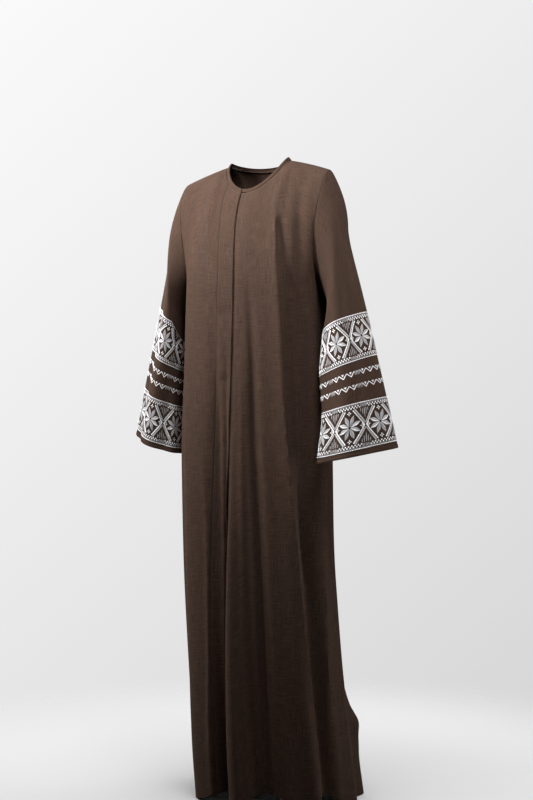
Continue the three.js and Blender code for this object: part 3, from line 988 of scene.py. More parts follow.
class Chart:
    """One repeat of an embroidered row, as strokes in flat millimetres."""

    def __init__(self) -> None:
        """Starts an empty chart."""
        self.strokes: list[Stroke] = []

    def add(self, thread: Thread, line: Sequence[tuple[float, float]], widths: Sequence[float],
            tone_and_sheen: float = 1.0, proud: float = 0.75) -> None:
        """Adds a stroke."""
        self.strokes.append(Stroke(tuple(line), tuple(widths), thread, tone_and_sheen, proud))

    def mesh(self, name: str, thread: Thread) -> bpy.types.Object:
        """Makes the strokes of one thread, as closed solids on the flat.

        Args:
            name: The object's name.
            thread: The thread.

        Returns:
            The object, with its stitch coordinates in an attribute.
        """
        points, stitches, faces, base = [], [], [], 0
        for stroke in self.strokes:
            if stroke.thread is not thread:
                continue
            ring, stitch = stroke.rings()
            count, sides = ring.shape[:2]
            for i in range(count - 1):
                for j in range(sides):
                    a, b = base + i * sides + j, base + i * sides + (j + 1) % sides
                    faces.append((a, a + sides, b + sides, b))
            faces.append(tuple(base + j for j in range(sides)))
            faces.append(tuple(base + (count - 1) * sides + j for j in reversed(range(sides))))
            points.append(ring.reshape(-1, 3))
            stitches.append(stitch.reshape(-1, 3))
            base += count * sides
        piece = new_object(name, np.concatenate(points), faces)
        keep_vectors(piece.data, "stitch", np.concatenate(stitches))
        return piece


@dataclass
class StarBand(Chart):
    """A band of eight-petalled stars in six-sided cells, between rows of beads and checks.

    petal_line holds a petal's width at shares of its length, leaves_at a leaf's place and foot,
    and flowers_at shares of the band's width and height.
    """

    width: float = 76
    height: float = 98
    bead: float = 2.3
    beads: int = 16
    line_at: float = 4.0
    check: float = 3.1
    checks: int = 22
    check_from: float = 5.3
    checks_reach: float = 0.36
    border: float = 12.8
    shoulder: float = 0.365
    arm_off: float = 2.2
    dashes: int = 8
    petal: float = 26
    petals: int = 8
    petal_line: tuple[tuple[float, float], ...] = (
        (0.1, 0.8), (0.35, 2.9), (0.6, 4.6), (0.8, 2.9), (1.0, 0.4)
    )
    leaves_at: tuple[tuple[float, float], ...] = (
        (0.0, 33), (5.2, 27), (10.4, 20.5), (-5.2, 27), (-10.4, 20.5)
    )
    flowers_at: tuple[tuple[float, float], ...] = (
        (0.115, 0.5), (0.885, 0.5), (0.5, 0.2), (0.5, 0.8)
    )

    def __post_init__(self) -> None:
        """Draws the repeat."""
        super().__init__()
        for flip in (False, True):
            self.edge(flip)
            self.arms(flip)
            self.leaves(flip)
        self.star()
        for x, y in self.flowers_at:
            self.flower(np.array([x * self.width, y * self.height]))

    def at(self, x: float, y: float, flip: bool) -> tuple[float, float]:
        """A place on the chart, turned to the lower half where asked."""
        return (x, self.height - y) if flip else (x, y)

    def edge(self, flip: bool) -> None:
        """The rows along an edge: beads, a line, then checks or short bars."""
        pitch = self.width / self.beads
        for k in range(self.beads):
            y = self.bead / 2
            ends = [self.at((k + share) * pitch, y, flip) for share in (0.03, 0.3, 0.7, 0.97)]
            self.add(Thread.WHITE, ends, (1.2, self.bead, self.bead, 1.2), proud=0.9)
        line = [self.at(x, self.line_at, flip) for x in (0, self.width)]
        self.add(Thread.SILVER, line, (1.0, 1.0), 0.55)
        pitch = self.width / self.checks
        for k in range(self.checks):
            x = (k + 0.5) * pitch
            if abs(x / self.width - 0.5) < self.checks_reach:
                y = self.check_from + (k % 2) * (self.check + 0.2)
                ends = [self.at(x, y + share * self.check, flip) for share in (0, 0.5, 1)]
                self.add(Thread.WHITE, ends, (2.9, 3.3, 2.9))
            else:
                top, low = self.check_from, self.check_from + 2 * self.check - (k % 2) * 1.6
                ends = [self.at(x, y, flip) for y in (top, mix(top, low, 0.6), low)]
                self.add(Thread.SILVER, ends, (1.9, 1.9, 1.3), 0.75)

    def arms(self, flip: bool) -> None:
        """The cell's sloping sides: white dashes inside and a silver bar outside."""
        for side in (-1, 1):
            end = np.array([self.width * (0.5 + 0.5 * side), self.height / 2])
            top = np.array([self.width * (0.5 + side * (0.5 - self.shoulder)), self.border])
            length = float(np.hypot(*(top - end)))
            run = (top - end) / length
            inward = np.array([-side * abs(run[1]), abs(run[0])])
            start = end + inward * self.arm_off + run * 1.3
            pitch = (length - 1.4) / self.dashes
            for k in range(self.dashes):
                ends = [start + run * (k + share) * pitch for share in (0.0, 0.3, 0.7, 0.96)]
                self.add(Thread.WHITE, [self.at(*q, flip) for q in ends], (2.3, 3.0, 3.0, 2.3))
            outer = [end - inward * self.arm_off + run * d for d in (3.8, 9, length - 1.5)]
            self.add(Thread.SILVER, [self.at(*q, flip) for q in outer], (1.2, 3.6, 3.6))

    def leaves(self, flip: bool) -> None:
        """The upright leaves in the triangles between the cells."""
        top = self.border + 0.6
        for x, low in self.leaves_at:
            stops = [self.at(x % self.width, mix(top, low, share), flip)
                     for share in (0, 0.45, 0.8, 1)]
            self.add(Thread.SILVER, stops, (1.6, 2.4, 1.7, 0.5), 0.5)

    def star(self) -> None:
        """The petals, each worked in two halves, with painted sheen: one half of each level petal is
        white thread, and the upright petals' halves are painted lighter and darker.
        """
        centre = np.array([self.width / 2, self.height / 2])
        for k in range(self.petals):
            turn = math.tau * (k + 0.5) / self.petals
            ahead = np.array([math.cos(turn), math.sin(turn)])
            aside = np.array([-ahead[1], ahead[0]])
            level = abs(ahead[0]) > abs(ahead[1])
            for half in (-1, 1):
                line = [tuple(centre + ahead * r * self.petal + aside * half * wide / 2)
                        for r, wide in self.petal_line]
                widths = [wide * 0.92 for _, wide in self.petal_line]
                # painted sheen: the half of a level petal that would catch the light is worked in
                # white thread
                sheen_lit_half = level and half == (1 if ahead[0] > 0 else -1)
                # painted sheen: an upright petal's halves are drawn lighter and darker
                self.add(Thread.WHITE if sheen_lit_half else Thread.SILVER, line, widths,
                         1.0 if level else (0.95 if half > 0 else 0.6))

    def flower(self, centre: Array) -> None:
        """A small flower of four petals round an open middle."""
        for x, y in ((1, 0), (0, 1), (-1, 0), (0, -1)):
            line = [tuple(centre + np.array([x, y]) * r) for r in (1.1, 2.7, 4.8)]
            self.add(Thread.WHITE, line, (1.2, 3.1, 0.5))


@dataclass
class ZigzagRow(Chart):
    """A zigzag line with a small filled triangle in each of its upper notches."""

    width: float = 76
    height: float = 11
    notches: int = 3
    notch: float = 19.5
    spikes: int = 4
    spike: float = 4.4

    def __post_init__(self) -> None:
        """Draws the repeat: the notches, and the spikes between one repeat and the next."""
        super().__init__()
        first = (self.width - self.notches * self.notch) / 2
        for k in range(self.notches):
            left = first + k * self.notch
            middle, right = left + self.notch / 2, left + self.notch
            foot = (middle, self.height - 0.8)
            self.add(Thread.WHITE, ((left + 0.2, 0.7), foot), (1.9, 2.2))
            self.add(Thread.WHITE, (foot, (right - 0.2, 0.7)), (2.2, 1.9))
            fill = ((middle, 0.1), (middle, 2.2), (middle, 4.8))
            self.add(Thread.WHITE, fill, (7.2, 4.2, 0.5), 0.8)
        for k in range(self.spikes):
            x = (k - (self.spikes - 1) / 2) * self.spike % self.width
            self.add(Thread.SILVER, ((x, 0.2), (x, 5.0), (x, 9.2)), (3.2, 2.1, 0.6), 0.9)


# ---- machine stitches ----
@dataclass(frozen=True)
class StitchRow:
    """A row of machine stitches: a line of points on the cloth and the directions outwards."""

    points: Array
    out: Array
    is_ring: bool = False


@dataclass(frozen=True)
class Stitching:
    """Rows of short stitches, laid along lines on the cloth. Sizes are in millimetres."""

    pitch: float = 3.1
    length: float = 2.5
    width: float = 0.6
    height: float = 0.5

    def tree(self) -> Build:
        """The tree that lays a stitch at every pitch of a path."""
        build = Build("stitch_row", {"Pitch": "Float", "Size": "Vector", "Material": "Material"})
        path = build.node("GeometryNodeMeshToCurve", {}, build.input("Geometry"))
        even = build.node(
            "GeometryNodeResampleCurve", {"mode": "LENGTH"}, Curve=path, Length=build.input("Pitch")
        )
        lie = build.node(
            "FunctionNodeAxesToRotation", {"primary_axis": "X", "secondary_axis": "Z"},
            build.node("GeometryNodeInputTangent", {}), build.attribute("out"),
        )
        bead = build.node("GeometryNodeMeshUVSphere", {}, Segments=6, Rings=4, Radius=0.5)
        build.finish(build.node(
            "GeometryNodeInstanceOnPoints", {}, Points=even, Instance=bead, Rotation=lie,
            Scale=build.input("Size"),
        ))
        return build

    def sew(self, name: str, rows: Sequence[StitchRow],
            finish: bpy.types.Material) -> bpy.types.Object:
        """Makes the stitches of some rows as one piece.

        Args:
            name: The piece's name.
            rows: The rows.
            finish: The thread's material.

        Returns:
            The piece.
        """
        edges, base = [], 0
        for row in rows:
            count = len(row.points)
            edges += [(base + k, base + k + 1) for k in range(count - 1)]
            if row.is_ring:
                edges.append((base + count - 1, base))
            base += count
        mesh = bpy.data.meshes.new(name)
        mesh.from_pydata((np.concatenate([row.points for row in rows]) * MM).tolist(), edges, [])
        keep_vectors(mesh, "out", np.concatenate([row.out for row in rows]))
        return self.tree().run(name, linked(name, mesh), {
            "Pitch": self.pitch * MM,
            "Size": (self.length * MM, self.width * MM, self.height * MM),
            "Material": finish,
        })


# ---- the garment ----
SEAM_GAP = 0.01


@dataclass(frozen=True)
class Seam:
    """How cloth sinks in beside a seam: how deep, and over what width."""

    depth: float = 0.9
    width: float = 1.6

    def sink(self, gaps: Sequence[Array]) -> Array:
        """How far cloth sinks at its distances from the seams."""
        return np.minimum(1, sum(bell(gap / self.width) for gap in gaps)) * self.depth


class Edge(Enum):
    """How an edge of a panel is made."""

    SEAM = "seam"
    FREE = "free"


def fixed(angle: float) -> Callable[[Array], Array]:
    """An edge at the same angle at every height."""
    return lambda z: np.full(np.shape(z), angle)


@dataclass
class Panel:
    """One panel of the body, between two edges that may move with height.

    lead_in and lead_down place the first columns and rows, in millimetres from an edge and in
    shares of the yoke. steps are the small steps that outward directions are measured with.
    """

    name: str
    node: str
    left: Callable[[Array], Array]
    right: Callable[[Array], Array]
    flat_size: tuple[float, float]
    flat_area: float
    thickness: float = 1.3
    left_edge: Edge = Edge.SEAM
    right_edge: Edge = Edge.SEAM
    column_step: float = 5.0
    spaced_at: float = -500
    yoke_rows: int = 60
    skirt_rows: int = 210
    grain_at: float = 0.5
    seam: Seam = Seam()
    lead_in: tuple[float, ...] = (0.0, 1.0, 2.2, 3.6)
    lead_down: tuple[float, ...] = (0.0, 0.004, 0.009, 0.016)
    steps: tuple[float, float] = (0.4, 0.01)
    inset: Callable[[Array, Array], Array] | None = None
    hem_row: float = 20
    neck_row: float = 5
    seam_column: int | None = None
    seam_ends: tuple[int, int] = (3, -2)
    laid: tuple[Array, ...] = field(default=(), init=False)

    def columns(self, radius: float) -> Array:
        """The columns' places from 0 to 1 across the panel, closer together at its edges."""
        middle = np.array([float(self.spaced_at)])
        wide = float(np.radians(self.right(middle) - self.left(middle))[0] * radius)
        inner = np.arange(self.lead_in[-1], wide - self.lead_in[-1], self.column_step)
        places = [*self.lead_in[:-1], *inner, *[wide - x for x in reversed(self.lead_in)]]
        return np.array(places) / wide

    def rows(self) -> Array:
        """The rows' places down the panel."""
        yoke = np.linspace(0, 1, self.yoke_rows + 1)[2:]
        skirt = 1 + np.linspace(0, 1, self.skirt_rows + 1)[1:]
        return np.concatenate([self.lead_down, yoke, skirt])

    def build(self, form: BodyForm, finish: bpy.types.Material) -> bpy.types.Object:
        """Makes the panel.

        Args:
            form: The body's surface.
            finish: The cloth's material.

        Returns:
            The mesh object.
        """
        down = self.rows()[:, None]
        height = form.plain_point(np.zeros(len(down)), down[:, 0])[:, 2][:, None]
        share = self.columns(form.radius)[None, :]
        angle = mix(self.left(height), self.right(height), share)
        down = np.broadcast_to(down, angle.shape)
        points = form.point(angle, down)
        out = directions_out(form.point, angle, down, self.steps)
        run = travelled(points, 1)
        gaps = [run] if self.left_edge is Edge.SEAM else []
        gaps += [run[:, -1:] - run] if self.right_edge is Edge.SEAM else []
        sink = self.seam.sink([*gaps, travelled(points, 0)])
        if self.inset is not None:
            sink = sink + self.inset(angle, points[..., 2])
        points = points - out * sink[..., None]
        self.laid = (angle, points, out)
        start = round(self.grain_at * (angle.shape[1] - 1))
        shell = Shell(points, out, flat_from(points, start), self.thickness)
        return shell.build(self.name, finish)

    def stitches(self, form: BodyForm) -> list[StitchRow]:
        """The rows sewn on the panel once it is built: the hem's, the neck's and its seam's."""
        angle, points, out = self.laid
        rows = [StitchRow(*across(points[::-1, 1:-1], out[::-1, 1:-1], self.hem_row))]
        at_neck = form.quarter(angle[0])[2] < form.neck.turn - 1
        if np.any(at_neck):
            rows.append(StitchRow(*across(points[:, at_neck], out[:, at_neck], self.neck_row)))
        if self.seam_column is not None:
            column = slice(*self.seam_ends), self.seam_column
            rows.append(StitchRow(points[column], out[column]))
        return rows


def across(points: Array, out: Array, drop: float) -> tuple[Array, Array]:
    """The line across a grid at a distance down from its first row.

    Args:
        points: The grid's points.
        out: Their outward directions.
        drop: The distance.

    Returns:
        The line's points and outward directions.
    """
    gone = travelled(points, 0)

    def at(grid: Array) -> Array:
        """The grid's values on the line."""
        return np.array([[np.interp(drop, gone[:, j], grid[:, j, k]) for k in range(3)]
                         for j in range(grid.shape[1])])

    return at(points), at(out)


@dataclass
class Body:
    """The back, the two fronts and the placket.

    The underlap lies behind the placket, and beside it the left front rises a little. The
    placket's free edge lifts off the cloth between its snaps and has a dimple at each of them.
    """

    form: BodyForm
    placket_width: float = 38
    placket_thickness: float = 2.2
    underlap: float = 2.6
    underlap_start: float = 1.5
    underlap_blend: float = 6
    beside_rise: float = 3.5
    beside_fall: float = 22
    beside_lift: Table = Table("z lift", [
        (-300, 0), (-640, 0), (-850, 4), (-1100, 9), (-1425, 12),
    ])
    edge_clear: float = 0.8
    lift_from: float = 0.4
    snap_at: float = 0.55
    snap_dimple: float = 1.6
    snap_size: float = 11
    snaps: tuple[float, ...] = (-212, -357, -502, -648, -850, -1000)
    edge_lift: Table = Table("z lift", [
        (-80, 0.2), (-212, 0.1), (-285, 1.0), (-357, 0.1), (-430, 1.3), (-502, 0.1), (-575, 1.4),
        (-648, 0.2), (-785, 4.5), (-850, 0.6), (-1000, 0.8), (-1425, 1.8),
    ])

    def seam(self, z: Array) -> Array:
        """The placket's seam, in degrees round the body."""
        return self.form.lap.at(z)["seam"]

    def edge(self, z: Array) -> Array:
        """The placket's free edge, in degrees round the body."""
        return self.form.lap.at(z)["edge"]

    def under(self, angle: Array, z: Array) -> Array:
        """How far the left front lies in under the placket."""
        past = angle - self.edge(z) - self.edge_clear
        lift = self.beside_lift.at(z)["lift"] * smooth(past / self.beside_rise)
        lift = lift * (1 - smooth(past / self.beside_fall))
        return self.underlap * (1 - smooth(past / self.underlap_blend)) - lift

    def placket_inset(self, angle: Array, z: Array) -> Array:
        """The placket's dimples at its hidden snaps, and the lift of its free edge."""
        share = (angle - self.seam(z)) / (self.edge(z) - self.seam(z))
        inset = -self.edge_lift.at(z)["lift"] * smooth((share - self.lift_from) / (1 - self.lift_from))
        x = (share - self.snap_at) * self.placket_width / self.snap_size
        for snap in self.snaps:
            inset = inset + self.snap_dimple * bell(np.hypot(x, (z - snap) / self.snap_size))
        return inset

    def panels(self) -> list[Panel]:
        """The body's panels, with the flat size of each cut."""
        return [
            Panel(
                "back_panel", "back", fixed(90 + SEAM_GAP), fixed(270 - SEAM_GAP),
                (0.62, 1.44), 0.70,
            ),
            Panel(
                "right_front_panel", "front_right", fixed(SEAM_GAP - 90),
                lambda z: self.seam(z) - SEAM_GAP, (0.24, 1.42), 0.25, grain_at=1.0,
            ),
            Panel(
                "placket_strip", "front_placket", lambda z: self.seam(z) + SEAM_GAP, self.edge,
                (0.05, 1.37), 0.061, thickness=self.placket_thickness, right_edge=Edge.FREE,
                column_step=3.0, grain_at=1.0, inset=self.placket_inset, seam_column=3,
            ),
            Panel(
                "left_front_panel", "front_left", lambda z: self.seam(z) + self.underlap_start,
                fixed(90 - SEAM_GAP), (0.36, 1.42), 0.42, left_edge=Edge.FREE, column_step=3.6,
                grain_at=0.0, inset=self.under,
            ),
        ]


@dataclass(frozen=True)
class EmbroideredRow:
    """A row round a sleeve: its chart, its repeats, its foot over the cuff, its turn and tilt."""

    chart: Callable[[], Any]
    repeats: int
    foot: float
    turn: float
    tilt: float


EMBROIDERED_ROWS = (
    EmbroideredRow(StarBand, 6, 13.5, 0.31, 2),
    EmbroideredRow(ZigzagRow, 6, 139, 0.31, 5),
    EmbroideredRow(ZigzagRow, 6, 167, 0.31, 7),
    EmbroideredRow(StarBand, 6, 198, 0.31, 8),
)


def embroidery_build() -> Build:
    """The tree that repeats a chart round a sleeve and lays it on the cloth."""
    build = Build("embroidery", {
        "Guide": "Object", "Repeats": "Int", "Width": "Float", "Top": "Float",
        "Turn": "Float", "Tilt": "Float", "Material": "Material",
    })
    step = build.node("ShaderNodeCombineXYZ", {}, build.input("Width"))
    line = build.node("GeometryNodeMeshLine", {}, Count=build.input("Repeats"), Offset=step)
    copies = build.node(
        "GeometryNodeInstanceOnPoints", {}, Points=line, Instance=build.input("Geometry")
    )
    flat = build.node("GeometryNodeRealizeInstances", {}, copies)
    x, y, proud = build.coordinates(build.node("GeometryNodeInputPosition", {}))
    share = (x / build.input("Width") + build.input("Turn")) / build.input("Repeats")
    up = build.input("Top") - y - (share * math.tau).cosine() * build.input("Tilt")
    spot = build.node("ShaderNodeCombineXYZ", {}, share, up)
    guide = build.node("GeometryNodeObjectInfo", {}, Object=build.input("Guide"), out="Geometry")
    flat_place = build.attribute("flat")

    def sample(value: Value) -> Value:
        """Reads a value of the guide at each point's place on it."""
        return build.node(
            "GeometryNodeSampleUVSurface", {"data_type": "FLOAT_VECTOR"}, Mesh=guide,
            Value=value, UV_Map=flat_place, Sample_UV=spot, out="Value",
        )

    surface = sample(build.node("GeometryNodeInputPosition", {}))
    rise = build.node(
        "ShaderNodeVectorMath", {"operation": "SCALE"}, sample(build.attribute("out")), Scale=proud
    )
    laid = build.node("ShaderNodeVectorMath", {"operation": "ADD"}, surface, rise)
    build.finish(build.node("GeometryNodeSetPosition", {}, Geometry=flat, Position=laid))
    return build


def joined(name: str, parts: Sequence[bpy.types.Object]) -> bpy.types.Object:
    """Joins plain meshes that share a material into one piece."""
    with bpy.context.temp_override(active_object=parts[0], selected_editable_objects=parts,
                                   object=parts[0], selected_objects=parts):
        bpy.ops.object.join()
    parts[0].name = parts[0].data.name = name
    return parts[0]


@dataclass
class Sleeve:
    """A sleeve and the binding of its cuff.

    lead_along places the sleeve's first rows, as shares of its length. The guide is a grid over
    guide_turns of the sleeve, in degrees, and over guide_reach up from the cuff's edge.
    """

    form: SleeveForm
    word: str
    flat_size: tuple[float, float]
    flat_area: float
    cuff_flat: tuple[float, float]
    rows: int = 125
    columns: int = 90
    lead_along: tuple[float, ...] = (0.0, 0.002, 0.0045, 0.008)
    cuff_width: float = 10
    cuff_rows: int = 5
    cuff_crown: tuple[float, float] = (0.9, 0.3)
    thickness: float = 1.3
    cuff_thickness: float = 2.0
    seam: Seam = Seam()
    steps: tuple[float, float] = (1.0, 0.01)
    guide_turns: tuple[float, float] = (180, 620)
    guide_columns: int = 221
    guide_rows: int = 125
    guide_reach: float = 310
    track_to: float = 0.3
    track_steps: int = 200
    cuff_stitches: StitchRow | None = field(default=None, init=False)

    @property
    def cuff(self) -> float:
        """The place along the sleeve where the binding starts."""
        return 1 - self.cuff_width / self.form.length

    def out(self, about: Array, along: Array) -> Array:
        """The outward directions."""
        return directions_out(self.form.point, about, along, self.steps, self.form.side > 0)

    def grid(self, along: Array) -> tuple[Array, Array]:
        """Points and outward directions round the whole sleeve, at places along it."""
        about = np.linspace(0, 360, self.columns + 1)[None, :]
        about, along = np.broadcast_arrays(about, along[:, None])
        return self.form.point(about, along), self.out(about, along)

    def wall(self, name: str, points: Array, out: Array, start: int, thickness: float,
             finish: bpy.types.Material) -> bpy.types.Object:
        """Makes a wall that closes on itself round the sleeve.

        Args:
            name: The piece's name after the sleeve's word.
            points: Its outer points.
            out: Their outward directions.
            start: The column that its weave is measured from.
            thickness: Its thickness.
            finish: The cloth's material.

        Returns:
            The mesh object.
        """
        flat = flat_from(points, start)
        turned = self.form.side > 0
        shell = Shell(points[:, :-1], out[:, :-1], flat[:, :-1], thickness, True, turned)
        return shell.build(f"{self.word}_{name}", finish)

    def cloth(self, finish: bpy.types.Material) -> bpy.types.Object:
        """Makes the sleeve."""
        along = np.concatenate([self.lead_along, np.linspace(0, self.cuff, self.rows)[2:]])
        points, out = self.grid(along)
        points = points - out * self.seam.sink([travelled(points, 0)])[..., None]
        self.cuff_stitches = StitchRow(points[-2, :-1], out[-2, :-1], True)
        return self.wall("sleeve_cloth", points, out, self.columns // 4, self.thickness, finish)

    def guide(self) -> bpy.types.Object:
        """Makes the surface that embroidery is laid on.

        Its flat attribute holds the share round the sleeve from the armpit's line, and the way
        up from the cuff's edge in metres. Its out attribute holds the outward directions.

        Returns:
            The guide, which is taken away once the embroidery is made.
        """
        turns = np.linspace(*self.guide_turns, self.guide_columns)
        along = np.linspace(1, self.track_to, self.track_steps)[:, None]
        climbs = travelled(self.form.point(turns[None, :], along), 0)
        up = np.linspace(0, self.guide_reach, self.guide_rows)
        place = np.stack([np.interp(up, climb, along[:, 0]) for climb in climbs.T], -1)
        about = np.broadcast_to(turns[None, :], place.shape)
        points = self.form.point(about, place)
        around = travelled(points, 1)
        once = np.stack([np.interp(turns[0] + 360, turns, row) for row in around])[:, None]
        count, width = place.shape
        first = np.arange(count - 1)[:, None] * width + np.arange(width - 1)
        faces = np.stack([first, first + 1, first + width + 1, first + width], -1).reshape(-1, 4)
        piece = new_object(f"{self.word}_guide", points.reshape(-1, 3), faces.tolist())
        keep_vectors(piece.data, "flat", stack(around / once, up[:, None] * MM, 0.0))
        keep_vectors(piece.data, "out", self.out(about, place))
        return piece

    def embroidery(self, threads: dict[Thread, bpy.types.Material]) -> list[bpy.types.Object]:
        """Makes the embroidered rows, one piece for each thread."""
        guide = self.guide()
        build = embroidery_build()
        pieces = []
        for thread, finish in threads.items():
            parts = []
            for k, row in enumerate(EMBROIDERED_ROWS):
                chart = row.chart()
                source = chart.mesh(f"{self.word}_{thread.value}_{k}", thread)
                parts.append(build.run(f"{self.word}_row_{k}_{thread.value}", source, {
                    "Guide": guide,
                    "Repeats": row.repeats,
                    "Width": chart.width * MM,
                    "Top": (row.foot + chart.height) * MM,
                    "Turn": row.turn,
                    "Tilt": row.tilt * MM,
                    "Material": finish,
                }))
            pieces.append(joined(f"{self.word}_sleeve_{thread.value}", parts))
        bpy.data.objects.remove(guide)
        return pieces

    def binding(self, finish: bpy.types.Material) -> bpy.types.Object:
        """Makes the plain binding round the cuff."""
        share = np.linspace(0, 1, self.cuff_rows)
        points, out = self.grid(mix(self.cuff, 1.0, share))
        points = points + out * crowned(share, *self.cuff_crown)[:, None, None]
        return self.wall("cuff_band", points, out, 0, self.cuff_thickness, finish)


@dataclass
class NeckBand:
    """The doubled band that stands round the neck line. Its gap, in degrees, is at the placket."""

    form: BodyForm
    width: float = 9
    thickness: float = 2.2
    lean: float = 30
    crown: tuple[float, float] = (0.7, 0.2)
    gap: float = 0.8
    columns: int = 120
    rows: int = 7

    def tilted(self, angle: Array, tilt: float) -> Array:
        """A direction tilted up from straight away from the neck."""
        edge = self.form.top_point(angle)
        level = unit(stack(edge[..., 0], edge[..., 1] - self.form.neck.side_y, 0 * angle))
        rise = stack(0 * angle, 0 * angle, 0 * angle + 1)
        return level * math.cos(math.radians(tilt)) + rise * math.sin(math.radians(tilt))

    def build(self, finish: bpy.types.Material) -> bpy.types.Object:
        """Makes the band, from the placket's free edge round the neck and back to it."""
        neck, third = self.form.neck, self.columns // 3
        edge = float(self.form.lap.at(neck.front[1])["edge"])
        left = np.linspace(edge + self.gap, neck.turn, third)
        back = np.linspace(180 - neck.turn, 180 + neck.turn, third)[1:-1]
        right = np.linspace(-neck.turn, edge, third)
        angle = np.concatenate([left, back, right])[None, :]
        share = np.linspace(1, 0, self.rows)[:, None]
        angle, share = np.broadcast_arrays(angle, share)
        out = self.tilted(angle, self.lean)
        points = self.form.top_point(angle)
        points = points + self.tilted(angle, 90 + self.lean) * (share * self.width)[..., None]
        points = points + out * crowned(share, *self.crown)[..., None]
        shell = Shell(points, out, flat_from(points, 0), self.thickness)
        return shell.build("neck_band", finish)


# ---- the studio ----
@dataclass(frozen=True)
class Softbox:
    """A rectangular lamp: its place, what it faces, its size in metres, its watts and its spread."""

    name: str
    place: tuple[float, float, float]
    faces: tuple[float, float, float]
    size: tuple[float, float]
    power: float
    spread: float


@dataclass
class Studio:
    """The floor, the air, the lamps and the camera, in metres.

    The floor fades out between the two radii. sky is the air's strength, which grows by
    sky_across towards the wearer's right and by sky_up upwards.
    """

    azimuth: float = 25.0
    distance: float = 2.7
    camera_height: float = -0.655
    pitch: float = 2.396
    sensor: float = 36
    focal: float = 1195 / 800 * 36
    axis_shift: float = 8.5 / 800
    floor: float = -1.426
    boxes: tuple[Softbox, ...] = (
        Softbox("key", (-0.75, -0.75, 0.5), (0.0, 0.0, -0.2), (0.35, 0.35), 8.3, 72),
        Softbox("overhead", (0.6, -0.65, 0.8), (0.25, 0.0, -0.2), (0.6, 0.6), 5.0, 72),
        Softbox("left_wall", (-1.7, -0.55, -1.0), (0.0, 0.0, -1.0), (0.4, 1.3), 11, 120),
        Softbox("right_wall", (1.6, 0.35, -0.8), (0.0, 0.0, -0.9), (0.5, 1.8), 10, 150),
        Softbox("back_wall", (-1.45, 1.35, 0.2), (0.0, 0.0, -0.6), (0.9, 1.4), 38, 150),
        Softbox("front_wall", (0.9, -2.0, 0.1), (0.0, 0.0, -0.6), (2.0, 2.0), 1.5, 150),
    )
    floor_lamp: Softbox = Softbox(
        "floor_lamp", (0.0, 0.0, 1.0), (0.0, 0.0, -1.4), (2.8, 2.8), 105, 180
    )
    floor_radius: tuple[float, float] = (0.6, 1.6)
    floor_margin: float = 1.02
    floor_sides: int = 96
    floor_colour: Colour = (0.84, 0.84, 0.845)
    sky: float = 0.8
    sky_across: float = 0.26
    sky_up: float = 0.3
    sky_colour: Colour = (1.0, 0.995, 1.0)

    def camera(self) -> None:
        """Makes the camera."""
        turn = math.radians(self.azimuth)
        data = bpy.data.cameras.new("camera")
        data.sensor_fit = "VERTICAL"
        data.sensor_height = self.sensor
        data.lens = self.focal
        data.shift_x = self.axis_shift
        camera = linked("camera", data)
        camera.location = (
            self.distance * math.sin(turn), -self.distance * math.cos(turn), self.camera_height
        )
        camera.rotation_euler = (math.radians(90 + self.pitch), 0, turn)
        bpy.context.scene.camera = camera

    def lamp(self, box: Softbox, floor: bpy.types.Object, lights_floor: bool) -> None:
        """Makes one softbox, which lights either the garment or the floor.

        Args:
            box: Its place, size and power.
            floor: The floor.
            lights_floor: Whether it lights the floor alone.
        """
        data = bpy.data.lights.new(box.name, "AREA")
        data.shape = "RECTANGLE"
        data.size, data.size_y = box.size
        data.energy = box.power
        data.spread = math.radians(box.spread)
        lamp = linked(box.name, data)
        lamp.location = box.place
        aim = Vector(box.faces) - Vector(box.place)
        lamp.rotation_euler = aim.to_track_quat("-Z", "Y").to_euler()
        lamp.visible_camera = False
        group = bpy.data.collections.new(f"{box.name}_lights")
        group.objects.link(floor)
        lamp.light_linking.receiver_collection = group
        state = "INCLUDE" if lights_floor else "EXCLUDE"
        group.collection_objects[0].light_linking.link_state = state

    def ground(self) -> bpy.types.Object:
        """Makes the floor, a disc that fades into the air around it.

        Returns:
            The floor, which throws no light back on the garment.
        """
        turns = np.linspace(0, math.tau, self.floor_sides, endpoint=False)
        near, far = self.floor_radius
        reach = far * self.floor_margin
        rim = stack(reach * np.cos(turns), reach * np.sin(turns), self.floor)
        piece = new_object("floor", rim / MM, [tuple(range(self.floor_sides))])
        tree = Shading(bpy.data.materials.new("pale_floor"))
        place = tree.node("ShaderNodeTexCoord", {}, out="Object")
        level = tree.node(
            "ShaderNodeVectorMath", {"operation": "MULTIPLY"}, place, (1.0, 1.0, 0.0)
        )
        away = tree.node("ShaderNodeVectorMath", {"operation": "LENGTH"}, level, out="Value")
        fade = tree.node(
            "ShaderNodeMapRange", {"interpolation_type": "SMOOTHERSTEP"},
            away, near, far, 0.0, 1.0,
        )
        paper = tree.node(
            "ShaderNodeBsdfDiffuse", {}, Color=(*self.floor_colour, 1.0), Roughness=1.0
        )
        air = tree.node("ShaderNodeBsdfTransparent", {})
        faded = tree.node("ShaderNodeMixShader", {}, fade, paper, air)
        piece.data.materials.append(tree.finish(faded))
        piece.visible_diffuse = False
        return piece

    def air(self) -> None:
        """Makes the pale light all round, a little brighter above and on the wearer's right."""
        turn = math.radians(self.azimuth)
        slope = (
            -self.sky_across * math.cos(turn), -self.sky_across * math.sin(turn), self.sky_up
        )
        world = bpy.data.worlds.new("studio")
        tree = Shading(world)
        ahead = tree.node("ShaderNodeTexCoord", {}, out="Generated")
        rise = tree.node(
            "ShaderNodeVectorMath", {"operation": "DOT_PRODUCT"}, ahead, slope, out="Value"
        )
        tree.finish(tree.node(
            "ShaderNodeBackground", {}, (*self.sky_colour, 1.0), rise + self.sky
        ))
        world.cycles_visibility.diffuse = False
        world.cycles_visibility.glossy = False
        bpy.context.scene.world = world

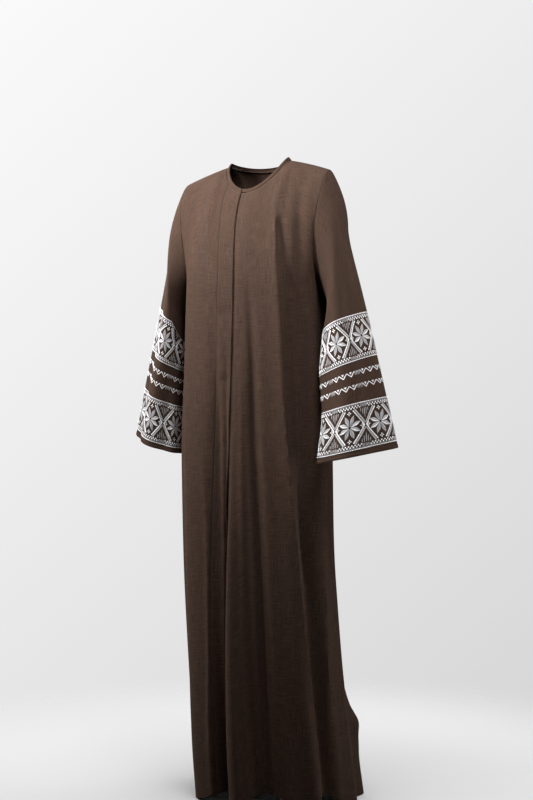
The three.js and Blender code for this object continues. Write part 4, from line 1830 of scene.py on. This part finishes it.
    def build(self) -> None:
        """Makes the studio."""
        floor = self.ground()
        for box in self.boxes:
            self.lamp(box, floor, False)
        self.lamp(self.floor_lamp, floor, True)
        self.camera()
        self.air()
        bpy.context.scene.view_settings.view_transform = "Standard"


def seat(piece: bpy.types.Object, node: str | None, slot: str) -> None:
    """Rides a piece on the garment, in place of a CAD node where one is named."""
    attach(piece, "root")
    if node:
        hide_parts(node)
    LOG.info("%s: %d faces", piece.name, len(piece.data.polygons))


def main() -> None:
    """Builds the garment and the studio."""
    logging.basicConfig(level=logging.INFO, format="%(name)s: %(message)s")
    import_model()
    Studio().build()
    brown = ClothFinish(
        "brown_slub", (0.022, 0.0125, 0.0088), (0.078, 0.048, 0.034), (0.042, 0.028, 0.0245)
    ).build()
    # each thread's second colour is its painted shade colour, for the grooves between stitches
    white = ThreadFinish("white_thread", (0.93, 0.93, 0.95), (0.72, 0.72, 0.75)).build()
    silver = ThreadFinish("silver_thread", (0.56, 0.55, 0.565), (0.18, 0.17, 0.175)).build()
    threads = {Thread.WHITE: white, Thread.SILVER: silver}
    sewing = ThreadFinish("brown_thread", (0.045, 0.028, 0.02), (0.014, 0.008, 0.006)).build()
    stitching = Stitching()
    form = BodyForm()
    body = Body(form)
    rows = []
    for panel in body.panels():
        piece = panel.build(form, brown)
        seat(piece, panel.node, "doubled_cloth" if panel.node == "front_placket" else "cloth")
        rows += panel.stitches(form)
    seat(stitching.sew("body_stitches", rows, sewing), None, "cloth")
    band = NeckBand(form).build(brown)
    seat(band, "neck_binding", "doubled_cloth")
    for word, side, table, flat, area, cuff in (
        ("left", 1.0, LEFT_SLEEVE, (0.46, 0.64), 0.2, (0.01, 0.46)),
        ("right", -1.0, RIGHT_SLEEVE, (0.4, 0.6), 0.162, (0.01, 0.34)),
    ):
        sleeve = Sleeve(SleeveForm(form, side, table), word, flat, area, cuff)
        cloth = sleeve.cloth(brown)
        seat(cloth, f"sleeve_{word}", "cloth")
        for piece in sleeve.embroidery(threads):
            seat(piece, None, piece.name.split("sleeve_")[1])
        row = stitching.sew(f"{word}_cuff_stitches", [sleeve.cuff_stitches], sewing)
        seat(row, None, "cloth")
        strip = sleeve.binding(brown)
        seat(strip, f"cuff_binding_{word}", "doubled_cloth")


if __name__ == "__main__":
    main()
